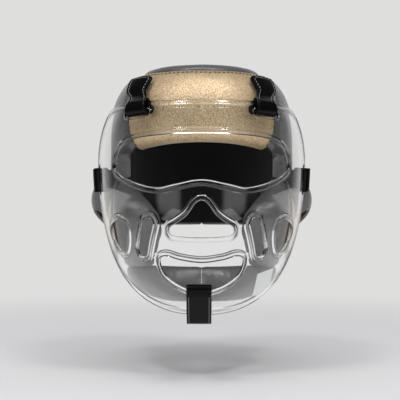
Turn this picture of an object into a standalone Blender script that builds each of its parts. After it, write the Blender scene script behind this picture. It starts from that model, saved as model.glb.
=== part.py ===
"""Full-face boxing headgear with a clear face shield.

A padded leather guard, open at the back and closed there by a strap, carries a clear moulded shield
on five leather straps. Metres, +Z up. The wearer faces -Y, so the wearer's left is +X. The origin is
on the middle plane at eye height, in the middle of the head cavity.
"""

import math

import bmesh
import bpy
import numpy as np
from mathutils import Matrix, Vector
from mathutils.geometry import delaunay_2d_cdt

MM = 0.001
DEG = math.pi / 180

# The head that the guard is cut for
HEAD_HALF_WIDTH = 78 * MM
HEAD_FRONT = 93 * MM
HEAD_BACK = 97 * MM
HEAD_WIDEST = 10 * MM  # height of the widest level over the eyes
HEAD_CROWN = 76 * MM  # from the widest level up to the crown
HEAD_JAW = 168 * MM  # from the widest level down to where the jaw would close
HEAD_TOP_SQUARENESS = 4  # above the widest level: 2 is an ellipsoid, more is squarer
HEAD_LOW_SQUARENESS = 2.6

# Layers of the padding, from the head outwards
EASE = 0.5 * MM  # between the head and the lining
LINING = 1.2 * MM
FOAM = 14 * MM
LEATHER = 1.5 * MM
LAYER_GAP = 0.4 * MM
COVER_TOP = EASE + LINING + FOAM + LEATHER + 2 * LAYER_GAP

# Edges of the pads
SEAM_CLEARANCE = 0.5 * MM  # between the covers of two neighbouring pads
SEAM = 2 * (LEATHER + LAYER_GAP) + SEAM_CLEARANCE
FREE_ROLL = 13 * MM  # width over which a free edge is rounded down to the lining
SEAM_ROLL = 5 * MM
SEAM_DIP = 0.2  # share of the foam taken away beside a seam
EDGE_FOAM = 0.07  # share of the foam left at a free edge

# Where the pads lie, as heights over the eyes and as angles from the face round to the ear
CROWN_DROP = 7 * MM  # from the top of the head down to the seam round the crown pad
PAD_TOP = HEAD_WIDEST + HEAD_CROWN - CROWN_DROP
BROW = 21 * MM
BROW_ARCH = 6 * MM
PANEL_ANGLE_LOW = 46 * DEG
PANEL_ANGLE_HIGH = 55 * DEG
EYE_EDGE_ANGLE = 64 * DEG
CHEEK_REAR_ANGLE = 92 * DEG  # at the top of its rear edge, which slants back to the jaw
CHEEK_JAW_ANGLE = 101 * DEG
SIDE_LOW = -66 * MM
BACK_LOW = -60 * MM
CHEEK_TOP = -15 * MM
CHEEK_REAR_TOP = -36 * MM
CHEEK_LOW = -96 * MM
CHEEK_SWELL = 6 * MM
CHIN_TOP = CHEEK_LOW - SEAM
CHIN_LOW = -128.5 * MM
CHIN_END_LOW = -106 * MM
CHIN_END_ANGLE = 76 * DEG
CHIN_ROUNDNESS = 5  # how late its lower edge turns up to its ends
MOUTH_ANGLE = 44 * DEG  # half of the chin pad's free upper edge
SEAM_FADE = 14 * DEG  # over which a seamed edge turns into a free one

# Ear domes
EAR_ANGLE = 113 * DEG
EAR_LEVEL = -33 * MM
EAR_HOLE = 18 * MM  # radius
EAR_MARGIN = 3.5 * MM  # from the ear hole to the rear edge of the side pad
DOME_RIM = 14 * MM  # from the ear hole to the edge of the dome
DOME_RISE = 32 * MM
DOME_WALL = 5 * MM
DOME_VENT = 9 * MM  # radius

EAR_TURN = math.hypot(HEAD_HALF_WIDTH * math.cos(EAR_ANGLE), HEAD_BACK * math.sin(EAR_ANGLE))
SIDE_REAR_ANGLE = EAR_ANGLE + (EAR_HOLE + EAR_MARGIN) / EAR_TURN
SIDE_NOTCH_ANGLE = (EYE_EDGE_ANGLE + SIDE_REAR_ANGLE) / 2  # where the side pad drops behind the cheek pad
DOME_RADIUS = EAR_HOLE + DOME_RIM

# Clear shield: a dome about an upright line, as wide and as deep as the padding plus its stand-off
SHIELD_THICKNESS = 3 * MM
SHIELD_SIDE_GAP = 10 * MM
SHIELD_FACE_GAP = 33 * MM
SHIELD_AXIS = -20 * MM  # the upright line, in front of the middle of the head
SHIELD_TOP = 61 * MM
SHIELD_MIDDLE = -20 * MM
SHIELD_LOW = -145 * MM
SHIELD_SIDE_ANGLE = 84 * DEG
SHIELD_TOP_SQUARENESS = 7
SHIELD_LOW_SQUARENESS = 2.5
SHIELD_WIDEST = 5 * MM
SHIELD_WIDTH_RISE = 115 * MM
SHIELD_WIDTH_FALL = 191 * MM
SHIELD_DEEPEST = -43 * MM
SHIELD_DEPTH_RISE = 173 * MM
SHIELD_DEPTH_FALL = 134 * MM
LIP_WIDTH = 5 * MM
LIP_RISE = 1.4 * MM

# Openings of the shield: left halves of their outlines, seen from the front, in millimetres
EYE_OPENING = (
    (0, 28), (36, 27), (64, 24), (78, 17), (84, 1), (79, -9), (62, -18), (42, -22.5), (24, -19), (0, -15)
)
NOSE_OPENING = ((0, -34.5), (6, -38), (13, -48), (22, -55), (29.5, -60), (28, -66), (16, -68), (0, -68.5))
MOUTH_OPENING = ((0, -93), (20, -90.5), (33, -87), (39, -91), (33, -106), (17, -117), (0, -120.5))
CHEEK_SLOT = ((50.5, -56.5), (55.5, -82))  # the middles of its round ends
CHEEK_SLOT_WIDTH = 12 * MM
JAW_OPENING = ((79, -53), (86, -57), (88, -66), (83.5, -77), (77, -85), (72.5, -83), (70.5, -72), (72, -59))

# Leather straps, their hook-and-loop patches and the bars of the shield that they go round
STRAP = 2.2 * MM
STRAP_WIDTH = 25 * MM
CHIN_STRAP_WIDTH = 24 * MM
PATCH = 1.2 * MM
PATCH_MARGIN = 2 * MM
REST_GAP = 0.7 * MM  # under what lies on a cover
BAR = 6.5 * MM
SLOT = 10 * MM
SLOT_EASE = 4 * MM  # at each end of a strap in its slot
FOLD_RADIUS = 5.8 * MM
LOOP_END_RADIUS = 1.6 * MM
HINGE_CLEARANCE = 0.8 * MM
TOP_STRAP_INSET = 16 * MM  # from the side of the head in to the middle of a top strap
TOP_STRAP_OFFSET = HEAD_HALF_WIDTH - TOP_STRAP_INSET
TOP_LOOP_RUN = 15 * MM  # from the bar to where the loop closes
TOP_TAIL_DROP = 7 * MM  # from the seam round the crown pad down to where the tail ends on the head
TOP_TAIL_LEVEL = PAD_TOP - TOP_TAIL_DROP
TOP_TAIL_INSET = 31 * MM  # the same at the end of its tail
TOP_TAIL_OFFSET = HEAD_HALF_WIDTH - TOP_TAIL_INSET
SIDE_STRAP_LEVEL = -14 * MM
SIDE_LOOP_RUN = 12 * MM
SIDE_TAIL_ANGLE = 94 * DEG
CHIN_LOOP_DROP = 12 * MM  # below the bottom edge of the shield
CHIN_FOLD_RADIUS = 4.2 * MM
CHIN_TAIL_RISE = 9 * MM  # length in which the tail comes up to the tab
CHIN_TAIL_LENGTH = 34 * MM
CHIN_TAB_WIDTH = 30 * MM
CHIN_TAB_LENGTH = 40 * MM
REAR_STRAP_WIDTH = 44 * MM
REAR_STRAP_LEVEL = -18 * MM
REAR_ROOT_ANGLE = 150 * DEG
REAR_END_ANGLE = 214 * DEG
REAR_PATCH_ANGLE = 192 * DEG  # where the hook patch starts

# Trim
JAW_PANEL = 1.2 * MM
TAG = 0.7 * MM
TAG_WIDTH = 20 * MM
TAG_LENGTH = 24 * MM
TAG_ANGLE = 46 * DEG
TAG_DROP = 9 * MM  # from the top of the chin pad to the tag's middle
TAG_STANDOFF = 1.2 * MM  # its middle hangs off the rounded pad
TAG_TURN = 36 * DEG
TAG_LEAN = 0.4  # towards the pad for its length
TAG_SLANT = 5 * MM  # its outer edge is sewn on higher than its inner edge

LOOP_PATCH_LOW = COVER_TOP + REST_GAP
HOOK_PATCH_LOW = LOOP_PATCH_LOW + PATCH + LAYER_GAP
TAIL_LOW = HOOK_PATCH_LOW + PATCH + LAYER_GAP
TAIL_MIDDLE = TAIL_LOW + STRAP / 2
SHIELD_HALF_WIDTH = HEAD_HALF_WIDTH + COVER_TOP + SHIELD_SIDE_GAP
SHIELD_DEPTH = HEAD_FRONT + COVER_TOP + SHIELD_FACE_GAP + SHIELD_AXIS


# The scene and its finishes


def new_collection(name):
    collection = bpy.data.collections.new(name)
    bpy.context.scene.collection.children.link(collection)
    return collection


def new_material(name, colour, roughness, metallic=0.0, alpha=1.0):
    material = bpy.data.materials.new(name)
    material.use_nodes = True
    shader = material.node_tree.nodes["Principled BSDF"]
    shader.inputs["Base Color"].default_value = (*colour, 1)
    shader.inputs["Roughness"].default_value = roughness
    shader.inputs["Metallic"].default_value = metallic
    shader.inputs["Alpha"].default_value = alpha
    return material


for old in list(bpy.data.objects):
    bpy.data.objects.remove(old)
PARTS = new_collection("boxing_headgear")
CUTTERS = new_collection("cutters")

GREY_LEATHER = new_material("grey leather", (0.16, 0.155, 0.155), 0.42)
GOLD_LEATHER = new_material("gold leather", (0.62, 0.50, 0.36), 0.38, metallic=0.3)
BLACK_LEATHER = new_material("black leather", (0.008, 0.007, 0.007), 0.22)
LINING_CLOTH = new_material("black lining", (0.012, 0.012, 0.013), 0.85)
FOAM_RUBBER = new_material("foam", (0.03, 0.03, 0.03), 0.9)
HOOK_AND_LOOP = new_material("hook and loop", (0.014, 0.014, 0.014), 0.95)
CLEAR_PLASTIC = new_material("clear plastic", (0.9, 0.9, 0.92), 0.05, alpha=0.25)
WHITE_CLOTH = new_material("white tape", (0.65, 0.65, 0.67), 0.7)


def finish(name, mesh, material, collection=PARTS):
    """Turns a bmesh, whose points are in world space, into a named object."""
    bmesh.ops.recalc_face_normals(mesh, faces=mesh.faces)
    if mesh.calc_volume(signed=True) < 0:
        bmesh.ops.reverse_faces(mesh, faces=mesh.faces)
    data = bpy.data.meshes.new(name)
    mesh.to_mesh(data)
    mesh.free()
    data.materials.append(material)
    data.shade_smooth()
    data.set_sharp_from_angle(angle=50 * DEG)
    part = bpy.data.objects.new(name, data)
    collection.objects.link(part)
    return part


def slab(name, columns, rows, place, material, collection=PARTS):
    """A closed slab cut into columns and rows, with the same diagonals on both of its sides. place(s, t, w)
    says where its points go: s and t run across it and w from its under side to its top, from 0 to 1."""
    mesh = bmesh.new()
    bmesh.ops.create_cube(mesh, size=1, matrix=Matrix.Translation((0.5, 0.5, 0.5)))
    for axis, count in ((0, columns), (1, rows)):
        across = Vector((0, 0, 0))
        across[axis] = 1
        for step in range(1, count):
            whole = mesh.verts[:] + mesh.edges[:] + mesh.faces[:]
            cut = across * (step / count)
            bmesh.ops.bisect_plane(mesh, geom=whole, dist=1e-6, plane_co=cut, plane_no=across)
    for face in mesh.faces[:]:
        if abs(face.normal.z) > 0.5:
            corners = sorted(face.verts, key=lambda vert: vert.co.x + vert.co.y)
            bmesh.utils.face_split(face, corners[0], corners[-1])
    spots = place(*np.array([vert.co for vert in mesh.verts]).T)
    for vert, spot in zip(mesh.verts, spots):
        vert.co = spot
    return finish(name, mesh, material, collection)


def cut_away(part, cutter):
    """Cuts one object's shape out of another."""
    cutter.hide_render = True
    cutter.display_type = "WIRE"
    boolean = part.modifiers.new(cutter.name, "BOOLEAN")
    boolean.object = cutter
    boolean.solver = "MANIFOLD"


def hinge_frame(name, spot, parent=None):
    """An empty on a joint's axis, which the moving pieces are parented to."""
    frame = bpy.data.objects.new(name, None)
    frame.location = spot
    PARTS.objects.link(frame)
    if parent:
        bpy.context.view_layer.update()
        frame.parent = parent
        frame.matrix_parent_inverse = parent.matrix_world.inverted()
    bpy.context.view_layer.update()
    return frame


def carry(frame, *parts):
    for part in parts:
        part.parent = frame
        part.matrix_parent_inverse = frame.matrix_world.inverted()


# Arithmetic on arrays of points


def unit(vectors):
    return vectors / np.linalg.norm(vectors, axis=-1, keepdims=True)


def mix(start, end, share):
    return start + (end - start) * share


def smooth_step(value, start, end):
    share = np.clip((value - start) / (end - start), 0, 1)
    return share * share * (3 - 2 * share)


def curve_through(points):
    """A smooth function of one value through (value, result) pairs, level with its ends beyond them."""
    at, to = np.array(points, dtype=float).T
    slope = np.gradient(to, at)

    def result(value):
        value = np.clip(value, at[0], at[-1])
        step = np.clip(np.searchsorted(at, value, side="right") - 1, 0, len(at) - 2)
        width = at[step + 1] - at[step]
        share = (value - at[step]) / width
        start = to[step] + slope[step] * width * share
        end = to[step + 1] - slope[step + 1] * width * (1 - share)
        return mix(start, end, share * share * (3 - 2 * share))

    return result


# The head's surface: an egg with a widest level, squarer than an ellipsoid


def head_form(level):
    """How far the head reaches up or down from its widest level on a height's side of it, and how squarely."""
    above = level > HEAD_WIDEST
    return np.where(above, HEAD_CROWN, HEAD_JAW), np.where(above, HEAD_TOP_SQUARENESS, HEAD_LOW_SQUARENESS)


def head_share(level):
    """How wide the head is at a height, as a share of its widest level."""
    reach, square = head_form(level)
    rise = np.abs((level - HEAD_WIDEST) / reach)
    return (1 - rise**square) ** (1 / square)


def head_depth(y):
    return np.where(y < 0, HEAD_FRONT, HEAD_BACK)


def head_point(azimuth, level):
    """The point at an angle from the face round to the wearer's left, and at a height over the eyes."""
    share = head_share(level)
    forward = -np.cos(azimuth) * share
    return np.stack([np.sin(azimuth) * share * HEAD_HALF_WIDTH, forward * head_depth(forward), level], -1)


def crown_point(across, along):
    """The point over a place on the crown, given as shares of the head's half width and depth."""
    share = np.hypot(across, along)
    rise = (1 - share**HEAD_TOP_SQUARENESS) ** (1 / HEAD_TOP_SQUARENESS)
    y = along * head_depth(along)
    return np.stack([across * HEAD_HALF_WIDTH, y, HEAD_WIDEST + HEAD_CROWN * rise], -1)


def face_point(x, level):
    """The point on the front of the head at a distance from the middle plane, and at a height."""
    forward = np.sqrt(head_share(level) ** 2 - (x / HEAD_HALF_WIDTH) ** 2)
    return np.stack([x + 0 * level, -forward * HEAD_FRONT, level + 0 * x], -1)


def head_normal(points):
    x, y, z = np.moveaxis(points, -1, 0)
    depth = head_depth(y)
    reach, square = head_form(z)
    rise = (z - HEAD_WIDEST) / reach
    round_part = np.hypot(x / HEAD_HALF_WIDTH, y / depth) ** (square - 2)
    upward = np.sign(rise) * np.abs(rise) ** (square - 1) / reach
    return unit(np.stack([round_part * x / HEAD_HALF_WIDTH**2, round_part * y / depth**2, upward], -1))


def onto_head(points):
    """Moves points along their lines to the middle of the head until they lie on it."""
    offset = points - np.array([0, 0, HEAD_WIDEST])
    x, y, z = np.moveaxis(offset, -1, 0)
    reach, square = head_form(z + HEAD_WIDEST)
    share = np.hypot(x / HEAD_HALF_WIDTH, y / head_depth(y))
    size = (share**square + np.abs(z / reach) ** square) ** (1 / square)
    return offset / size[..., None] + np.array([0, 0, HEAD_WIDEST])


def lifted(points, height):
    return points + head_normal(points) * np.asarray(height)[..., None]


# Pads: a lining, a foam core and a leather cover on one four-sided patch of the head


def eased(share):
    """Spaces a pad's rows and columns more closely at its edges, where it is rounded."""
    return (1 - np.cos(math.pi * share)) / 2


def roll(distance, width, loss):
    """Share of the foam left at a distance from an edge that is rounded over a width."""
    inside = np.clip(distance / width, 0, 1)
    return 1 - loss * (1 - np.sqrt(1 - (1 - inside) ** 2))


FREE = (FREE_ROLL, 1 - EDGE_FOAM)
SEAMED = (SEAM_ROLL, SEAM_DIP)


class Pad:
    """A patch between four edges. Its front and rear edges are angles at a height, and its low and high
    edges are heights at an angle. Each edge is free or seamed, or free for a share of its length."""

    def __init__(self, front, rear, low, high, finishes, columns, rows, swell=None):
        self.front, self.rear, self.low, self.high = front, rear, low, high
        self.hand = np.sign(rear(0.0) - front(0.0))  # which way round the head it runs
        self.finishes = finishes
        self.columns, self.rows = columns, rows
        self.swell = swell

    def spot(self, s, t):
        """Angle and height of the place s along the pad and t up it."""
        azimuth = mix(self.front(0 * s), self.rear(0 * s), s)
        level = 0 * s
        for _ in range(12):
            level = mix(self.low(azimuth), self.high(azimuth), t)
            azimuth = mix(self.front(level), self.rear(level), s)
        return azimuth, level

    def base(self, s, t):
        return head_point(*self.spot(eased(s), eased(t)))

    def foam_top(self, s, t):
        share_along, share_up = eased(s), eased(t)
        azimuth, level = self.spot(share_along, share_up)
        base = head_point(azimuth, level)
        share = head_share(level)
        turn = np.hypot(HEAD_HALF_WIDTH * np.cos(azimuth), HEAD_FRONT * np.sin(azimuth)) * share
        length = np.abs(self.rear(level) - self.front(level)) * turn
        height = self.high(azimuth) - self.low(azimuth)
        distances = (
            length * share_along,
            length * (1 - share_along),
            height * share_up,
            height * (1 - share_up),
        )
        left = 1.0
        for distance, kind in zip(distances, self.finishes):
            free = kind(azimuth, level) if callable(kind) else kind
            left = left * mix(roll(distance, *SEAMED), roll(distance, *FREE), free)
        thickness = FOAM * left
        if self.swell:
            thickness = thickness + self.swell(azimuth, level) * left
        return lifted(base, EASE + LINING + LAYER_GAP + thickness)

    def skin(self, s, t, height):
        """The place at a height over the foam, square to its rounded top."""
        step = 0.002
        along = self.foam_top(np.minimum(s + step, 1), t) - self.foam_top(np.maximum(s - step, 0), t)
        up = self.foam_top(s, np.minimum(t + step, 1)) - self.foam_top(s, np.maximum(t - step, 0))
        normal = unit(np.cross(along, up)) * self.hand
        return self.foam_top(s, t) + normal * np.asarray(height)[..., None]

    def build(self, name, cover_material):
        def lining(s, t, w):
            return lifted(self.base(s, t), EASE + LINING * w)

        def foam(s, t, w):
            under = lifted(self.base(s, t), EASE + LINING + LAYER_GAP + 0 * w)
            return mix(under, self.foam_top(s, t), w[:, None])

        def cover(s, t, w):
            return self.skin(s, t, LAYER_GAP + LEATHER * w)

        return (
            slab(name + "_lining", self.columns, self.rows, lining, LINING_CLOTH),
            slab(name + "_foam", self.columns, self.rows, foam, FOAM_RUBBER),
            slab(name + "_cover", self.columns, self.rows, cover, cover_material),
        )


def disc(s, t):
    """Spreads a square over an oval."""
    bend = 0.49
    across, along = 2 * s - 1, 2 * t - 1
    return across * np.sqrt(1 - bend * along**2), along * np.sqrt(1 - bend * across**2)


class CrownPad(Pad):
    """The oval pad on top of the head, inside the ring of the other pads."""

    def __init__(self, half_size, columns, rows):
        self.half_size = half_size
        self.hand = 1
        self.columns, self.rows = columns, rows

    def base(self, s, t):
        across, along = disc(eased(s), eased(t))
        return crown_point(across * self.half_size, along * self.half_size)

    def foam_top(self, s, t):
        across, along = disc(eased(s), eased(t))
        inset = (1 - np.clip(np.hypot(across, along), 0, 1)) * self.half_size * HEAD_HALF_WIDTH
        return lifted(self.base(s, t), EASE + LINING + LAYER_GAP + FOAM * roll(inset, *SEAMED))


def seam_angle(length, azimuth=0.0):
    """The angle that a length takes round the head."""
    return length / np.hypot(HEAD_HALF_WIDTH * np.cos(azimuth), HEAD_FRONT * np.sin(azimuth))


def panel_edge(level):
    """Half angle of the forehead pad."""
    share = np.clip((level - BROW) / (PAD_TOP - BROW), 0, 1)
    return mix(PANEL_ANGLE_LOW, PANEL_ANGLE_HIGH, share)


def side_front(level):
    """Front edge of the side pad: along the forehead pad, and below it along the eye opening."""
    beside_panel = panel_edge(level) + seam_angle(SEAM, PANEL_ANGLE_LOW) / head_share(level)
    return mix(EYE_EDGE_ANGLE, beside_panel, smooth_step(level, BROW - 2 * BROW_ARCH, BROW + BROW_ARCH / 2))


def cheek_seam(azimuth):
    """Upper edge of the cheek pad, falling from the eye opening to the ear."""
    share = np.clip((azimuth - EYE_EDGE_ANGLE) / (CHEEK_REAR_ANGLE - EYE_EDGE_ANGLE), 0, 1)
    return mix(CHEEK_TOP, CHEEK_REAR_TOP, share)


def cheek_rear(level):
    share = np.clip((CHEEK_REAR_TOP - level) / (CHEEK_REAR_TOP - SIDE_LOW), 0, 1)
    return mix(CHEEK_REAR_ANGLE, CHEEK_JAW_ANGLE, share)


def side_low(azimuth):
    """Lower edge of the side pad: along the cheek pad's top, down its rear edge, and level behind it."""
    slope = (CHEEK_TOP - CHEEK_REAR_TOP) / (HEAD_FRONT * (CHEEK_REAR_ANGLE - EYE_EDGE_ANGLE))
    above_cheek = cheek_seam(azimuth) + SEAM * math.hypot(1, slope)
    drop = np.clip((azimuth - SIDE_NOTCH_ANGLE) / (CHEEK_JAW_ANGLE - CHEEK_REAR_ANGLE), 0, 1)
    return mix(above_cheek, SIDE_LOW, drop)


cheek_front = curve_through(
    (
        (-100 * MM, 46 * DEG),
        (-90 * MM, 41 * DEG),
        (-75 * MM, 35 * DEG),
        (-58 * MM, 32 * DEG),
        (-43 * MM, 37 * DEG),
        (-28 * MM, 50 * DEG),
        (-15 * MM, 62 * DEG),
    )
)


def cheek_swell(azimuth, level):
    """The cheek bulges in front of the mouth corner, and a little in front of the ear."""
    front = np.exp(-(((azimuth - 50 * DEG) / (20 * DEG)) ** 2) - ((level + 56 * MM) / (24 * MM)) ** 2)
    rear = np.exp(-(((azimuth - 82 * DEG) / (12 * DEG)) ** 2) - ((level + 60 * MM) / (26 * MM)) ** 2)
    return CHEEK_SWELL * np.maximum(front, rear)


def chin_low(azimuth):
    return mix(CHIN_LOW, CHIN_END_LOW, np.abs(azimuth / CHIN_END_ANGLE) ** CHIN_ROUNDNESS)


def mirrored(function):
    return lambda value: -function(value)


def even(function):
    return lambda azimuth: function(np.abs(azimuth))


def constant(value):
    return lambda other: value + 0 * other


forehead = Pad(
    mirrored(panel_edge),
    panel_edge,
    lambda azimuth: BROW - BROW_ARCH * (azimuth / PANEL_ANGLE_LOW) ** 2,
    constant(PAD_TOP),
    (0, 0, 1, 0),
    columns=10,
    rows=6,
)
forehead.build("forehead", GOLD_LEATHER)

chin = Pad(
    constant(-CHIN_END_ANGLE),
    constant(CHIN_END_ANGLE),
    chin_low,
    constant(CHIN_TOP),
    (1, 1, 1, lambda azimuth, level: 1 - smooth_step(np.abs(azimuth), MOUTH_ANGLE, MOUTH_ANGLE + SEAM_FADE)),
    columns=16,
    rows=6,
)
chin_parts = chin.build("chin", GREY_LEATHER)

crown = CrownPad(head_share(PAD_TOP) - SEAM / HEAD_HALF_WIDTH, columns=8, rows=8)
crown.build("crown", GREY_LEATHER)


def ear_spot(side, forward, up, height):
    """A point near the ear, by its distances forward of the ear's middle and above it."""
    azimuth = side * (EAR_ANGLE - forward / (EAR_TURN + COVER_TOP))
    return lifted(head_point(azimuth, EAR_LEVEL + up), height)


def ear_cutter(name, side, forward, up, radius):
    """A round cutter through the side of the guard."""
    forward, up = np.array([forward]), np.array([up])
    inner = Vector(ear_spot(side, forward, up, np.array([-EASE - FOAM]))[0])
    outer = Vector(ear_spot(side, forward, up, np.array([COVER_TOP + 2 * DOME_RISE]))[0])
    turn = (outer - inner).to_track_quat("Z", "Y").to_matrix().to_4x4()
    mesh = bmesh.new()
    bmesh.ops.create_cone(
        mesh,
        cap_ends=True,
        segments=24,
        radius1=radius,
        radius2=radius,
        depth=(outer - inner).length,
        matrix=Matrix.Translation((inner + outer) / 2) @ turn,
    )
    return finish(name, mesh, FOAM_RUBBER, CUTTERS)


def build_ear_dome(name, side):
    """A padded cup over the ear, sewn round the ear hole, with a vent low in its front."""

    def place(s, t, w):
        across, along = disc(eased(s), eased(t))
        reach = np.clip(np.hypot(across, along), 0, 1)
        radius = mix(DOME_RADIUS - DOME_WALL, DOME_RADIUS, w)
        rise = mix(DOME_RISE - DOME_WALL, DOME_RISE, w) * (1 - reach**2.2) ** 0.7
        return ear_spot(side, across * radius, along * radius, COVER_TOP + REST_GAP + rise)

    dome = slab(name + "_ear_dome", 8, 8, place, GREY_LEATHER)
    offset = 0.5 * DOME_RADIUS
    cut_away(dome, ear_cutter(name + "_ear_vent_cutter", side, offset, -offset, DOME_VENT))


def build_jaw_panel(name, cheek):
    """A gold leather panel sewn on the rear of the cheek pad."""

    low = 2 * LAYER_GAP + LEATHER + REST_GAP

    def place(s, t, w):
        return cheek.skin(mix(0.60, 0.84, s), mix(0.26, 0.80, t), low + JAW_PANEL * w)

    slab(name + "_jaw_panel", 4, 6, place, GOLD_LEATHER)


for label, hand in (("left", 1), ("right", -1)):
    turned = (lambda function: function) if hand == 1 else mirrored
    facing = (lambda function: function) if hand == 1 else even
    side_pad = Pad(
        turned(side_front),
        turned(constant(SIDE_REAR_ANGLE)),
        facing(side_low),
        constant(PAD_TOP),
        (
            lambda azimuth, level: 1 - smooth_step(level, BROW - 3 * BROW_ARCH, BROW - BROW_ARCH),
            0,
            lambda azimuth, level: smooth_step(np.abs(azimuth), SIDE_NOTCH_ANGLE, CHEEK_JAW_ANGLE),
            0,
        ),
        columns=10,
        rows=9,
    )
    side_parts = side_pad.build(label + "_side", GREY_LEATHER)
    ear_hole = ear_cutter(label + "_ear_hole_cutter", hand, 0, 0, EAR_HOLE)
    for layer in side_parts:
        cut_away(layer, ear_hole)

    cheek_pad = Pad(
        turned(cheek_front),
        turned(cheek_rear),
        constant(CHEEK_LOW),
        facing(cheek_seam),
        (
            1,
            1,
            lambda azimuth, level: smooth_step(np.abs(azimuth), CHIN_END_ANGLE - SEAM_FADE, CHIN_END_ANGLE),
            0.3,
        ),
        columns=8,
        rows=8,
        swell=(lambda azimuth, level: cheek_swell(np.abs(azimuth), level)),
    )
    cheek_pad.build(label + "_cheek", GREY_LEATHER)
    build_jaw_panel(label, cheek_pad)

    back_pad = Pad(
        turned(lambda level: SIDE_REAR_ANGLE + seam_angle(SEAM, SIDE_REAR_ANGLE) / head_share(level)),
        turned(lambda level: math.pi - SEAM / 2 / HEAD_HALF_WIDTH / head_share(level)),
        constant(BACK_LOW),
        constant(PAD_TOP),
        (0, 1, 1, 0),
        columns=6,
        rows=8,
    )
    back_pad.build(label + "_back", GREY_LEATHER)
    build_ear_dome(label, hand)


# The clear shield


def shield_half_width(level):
    rise = (level - SHIELD_WIDEST) / np.where(level > SHIELD_WIDEST, SHIELD_WIDTH_RISE, SHIELD_WIDTH_FALL)
    return SHIELD_HALF_WIDTH * np.sqrt(1 - rise**2)


def shield_depth(level):
    rise = (level - SHIELD_DEEPEST) / np.where(level > SHIELD_DEEPEST, SHIELD_DEPTH_RISE, SHIELD_DEPTH_FALL)
    return SHIELD_DEPTH * np.sqrt(1 - rise**2)


def shield_point(angle, level, height=0.0):
    """A point on the outside of the shield, by its angle from the middle and its height over the eyes."""

    def outside(angle, level):
        x = shield_half_width(level) * np.sin(angle)
        return np.stack([x, SHIELD_AXIS - shield_depth(level) * np.cos(angle), level], -1)

    step = 0.1 * MM
    round_it = outside(angle + step, level) - outside(angle - step, level)
    up_it = outside(angle, level + step) - outside(angle, level - step)
    return outside(angle, level) + unit(np.cross(round_it, up_it)) * np.asarray(height)[..., None]


def shield_turn(angle, level):
    """Length on the shield for one radian of its angle."""
    return np.hypot(shield_half_width(level) * np.cos(angle), shield_depth(level) * np.sin(angle))


def shield_edge(turn):
    """The shield's outline, as an angle and a height, at a turn round its middle."""
    upper = np.sin(turn) > 0
    square = np.where(upper, SHIELD_TOP_SQUARENESS, SHIELD_LOW_SQUARENESS)
    rise = np.where(upper, SHIELD_TOP - SHIELD_MIDDLE, SHIELD_MIDDLE - SHIELD_LOW)
    size = (np.abs(np.cos(turn)) ** square + np.abs(np.sin(turn)) ** square) ** (-1 / square)
    return SHIELD_SIDE_ANGLE * np.cos(turn) * size, SHIELD_MIDDLE + rise * np.sin(turn) * size


def mirrored_outline(half):
    """The points of an outline that crosses the middle plane, from its left half."""
    half = np.array(half)
    return np.concatenate([half, half[-2:0:-1] * (-1, 1)])


def front_outline(points, count):
    """A closed smooth outline through points seen from the front, as angles and heights."""
    whole = np.array(points) * MM
    before, after, later = (np.roll(whole, shift, 0) for shift in (1, -1, -2))
    share = np.linspace(0, 1, count, endpoint=False)[:, None, None]
    points = (
        whole
        + (after - before) / 2 * share
        + (before - 2.5 * whole + 2 * after - later / 2) * share**2
        + (1.5 * (whole - after) + (later - before) / 2) * share**3
    )
    x, level = points.transpose(1, 0, 2).reshape(-1, 2).T
    return np.arcsin(x / shield_half_width(level)), level


def slot_outline(start, end, width, count=6):
    """A slot with round ends between two places, each an angle and a height."""
    turn = shield_turn((start[0] + end[0]) / 2, (start[1] + end[1]) / 2)
    flat = np.array([(start[0] * turn, start[1]), (end[0] * turn, end[1])])
    along = unit(flat[1] - flat[0])
    across = np.array([-along[1], along[0]])
    half_turn = np.linspace(0, math.pi, count)[:, None]
    round_end = np.cos(half_turn) * across + np.sin(half_turn) * along
    points = np.concatenate([flat[1] + round_end * width / 2, flat[0] - round_end * width / 2])
    return points[:, 0] / turn, points[:, 1]


def front_spot(x, level):
    """Angle and height on the shield of a place seen from the front."""
    return math.asin(x * MM / float(shield_half_width(level * MM))), level * MM


TOP_STRAP_ANGLE = math.asin(TOP_STRAP_OFFSET / float(shield_half_width(np.array(SHIELD_TOP))))
TOP_BAR_LEVEL = SHIELD_TOP - BAR / 2
SIDE_BAR_ANGLE = SHIELD_SIDE_ANGLE - BAR / 2 / float(shield_turn(SHIELD_SIDE_ANGLE, SIDE_STRAP_LEVEL))


def strap_slots():
    """The slots that the two upper and the two side straps go through."""
    slots = []
    level = SHIELD_TOP - BAR - SLOT / 2
    reach = (STRAP_WIDTH / 2 + SLOT_EASE - SLOT / 2) / float(shield_turn(TOP_STRAP_ANGLE, level))
    angle = SHIELD_SIDE_ANGLE - (BAR + SLOT / 2) / float(shield_turn(SHIELD_SIDE_ANGLE, SIDE_STRAP_LEVEL))
    rise = STRAP_WIDTH / 2 + SLOT_EASE - SLOT / 2
    for side in (1, -1):
        top = TOP_STRAP_ANGLE * side
        slots.append(slot_outline((top - reach, level), (top + reach, level), SLOT))
        beside = angle * side
        slots.append(slot_outline((beside, SIDE_STRAP_LEVEL - rise), (beside, SIDE_STRAP_LEVEL + rise), SLOT))
    return slots


def cheek_slots():
    """The slot and the opening behind it at each cheek."""
    slots = []
    top, bottom = (front_spot(*place) for place in CHEEK_SLOT)
    for side in (1, -1):
        slots.append(slot_outline((top[0] * side, top[1]), (bottom[0] * side, bottom[1]), CHEEK_SLOT_WIDTH))
        slots.append(front_outline(np.array(JAW_OPENING) * (side, 1), 3))
    return slots


def inside(points, loop):
    """Which points lie inside a closed outline."""
    x, y = points[:, :1], points[:, 1:]
    x0, y0 = loop.T
    x1, y1 = np.roll(loop, -1, 0).T
    crosses = (y0 > y) != (y1 > y)
    reach = x0 + (y - y0) * (x1 - x0) / np.where(y1 == y0, 1, y1 - y0)
    return np.sum(crosses & (x < reach), 1) % 2 == 1


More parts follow.
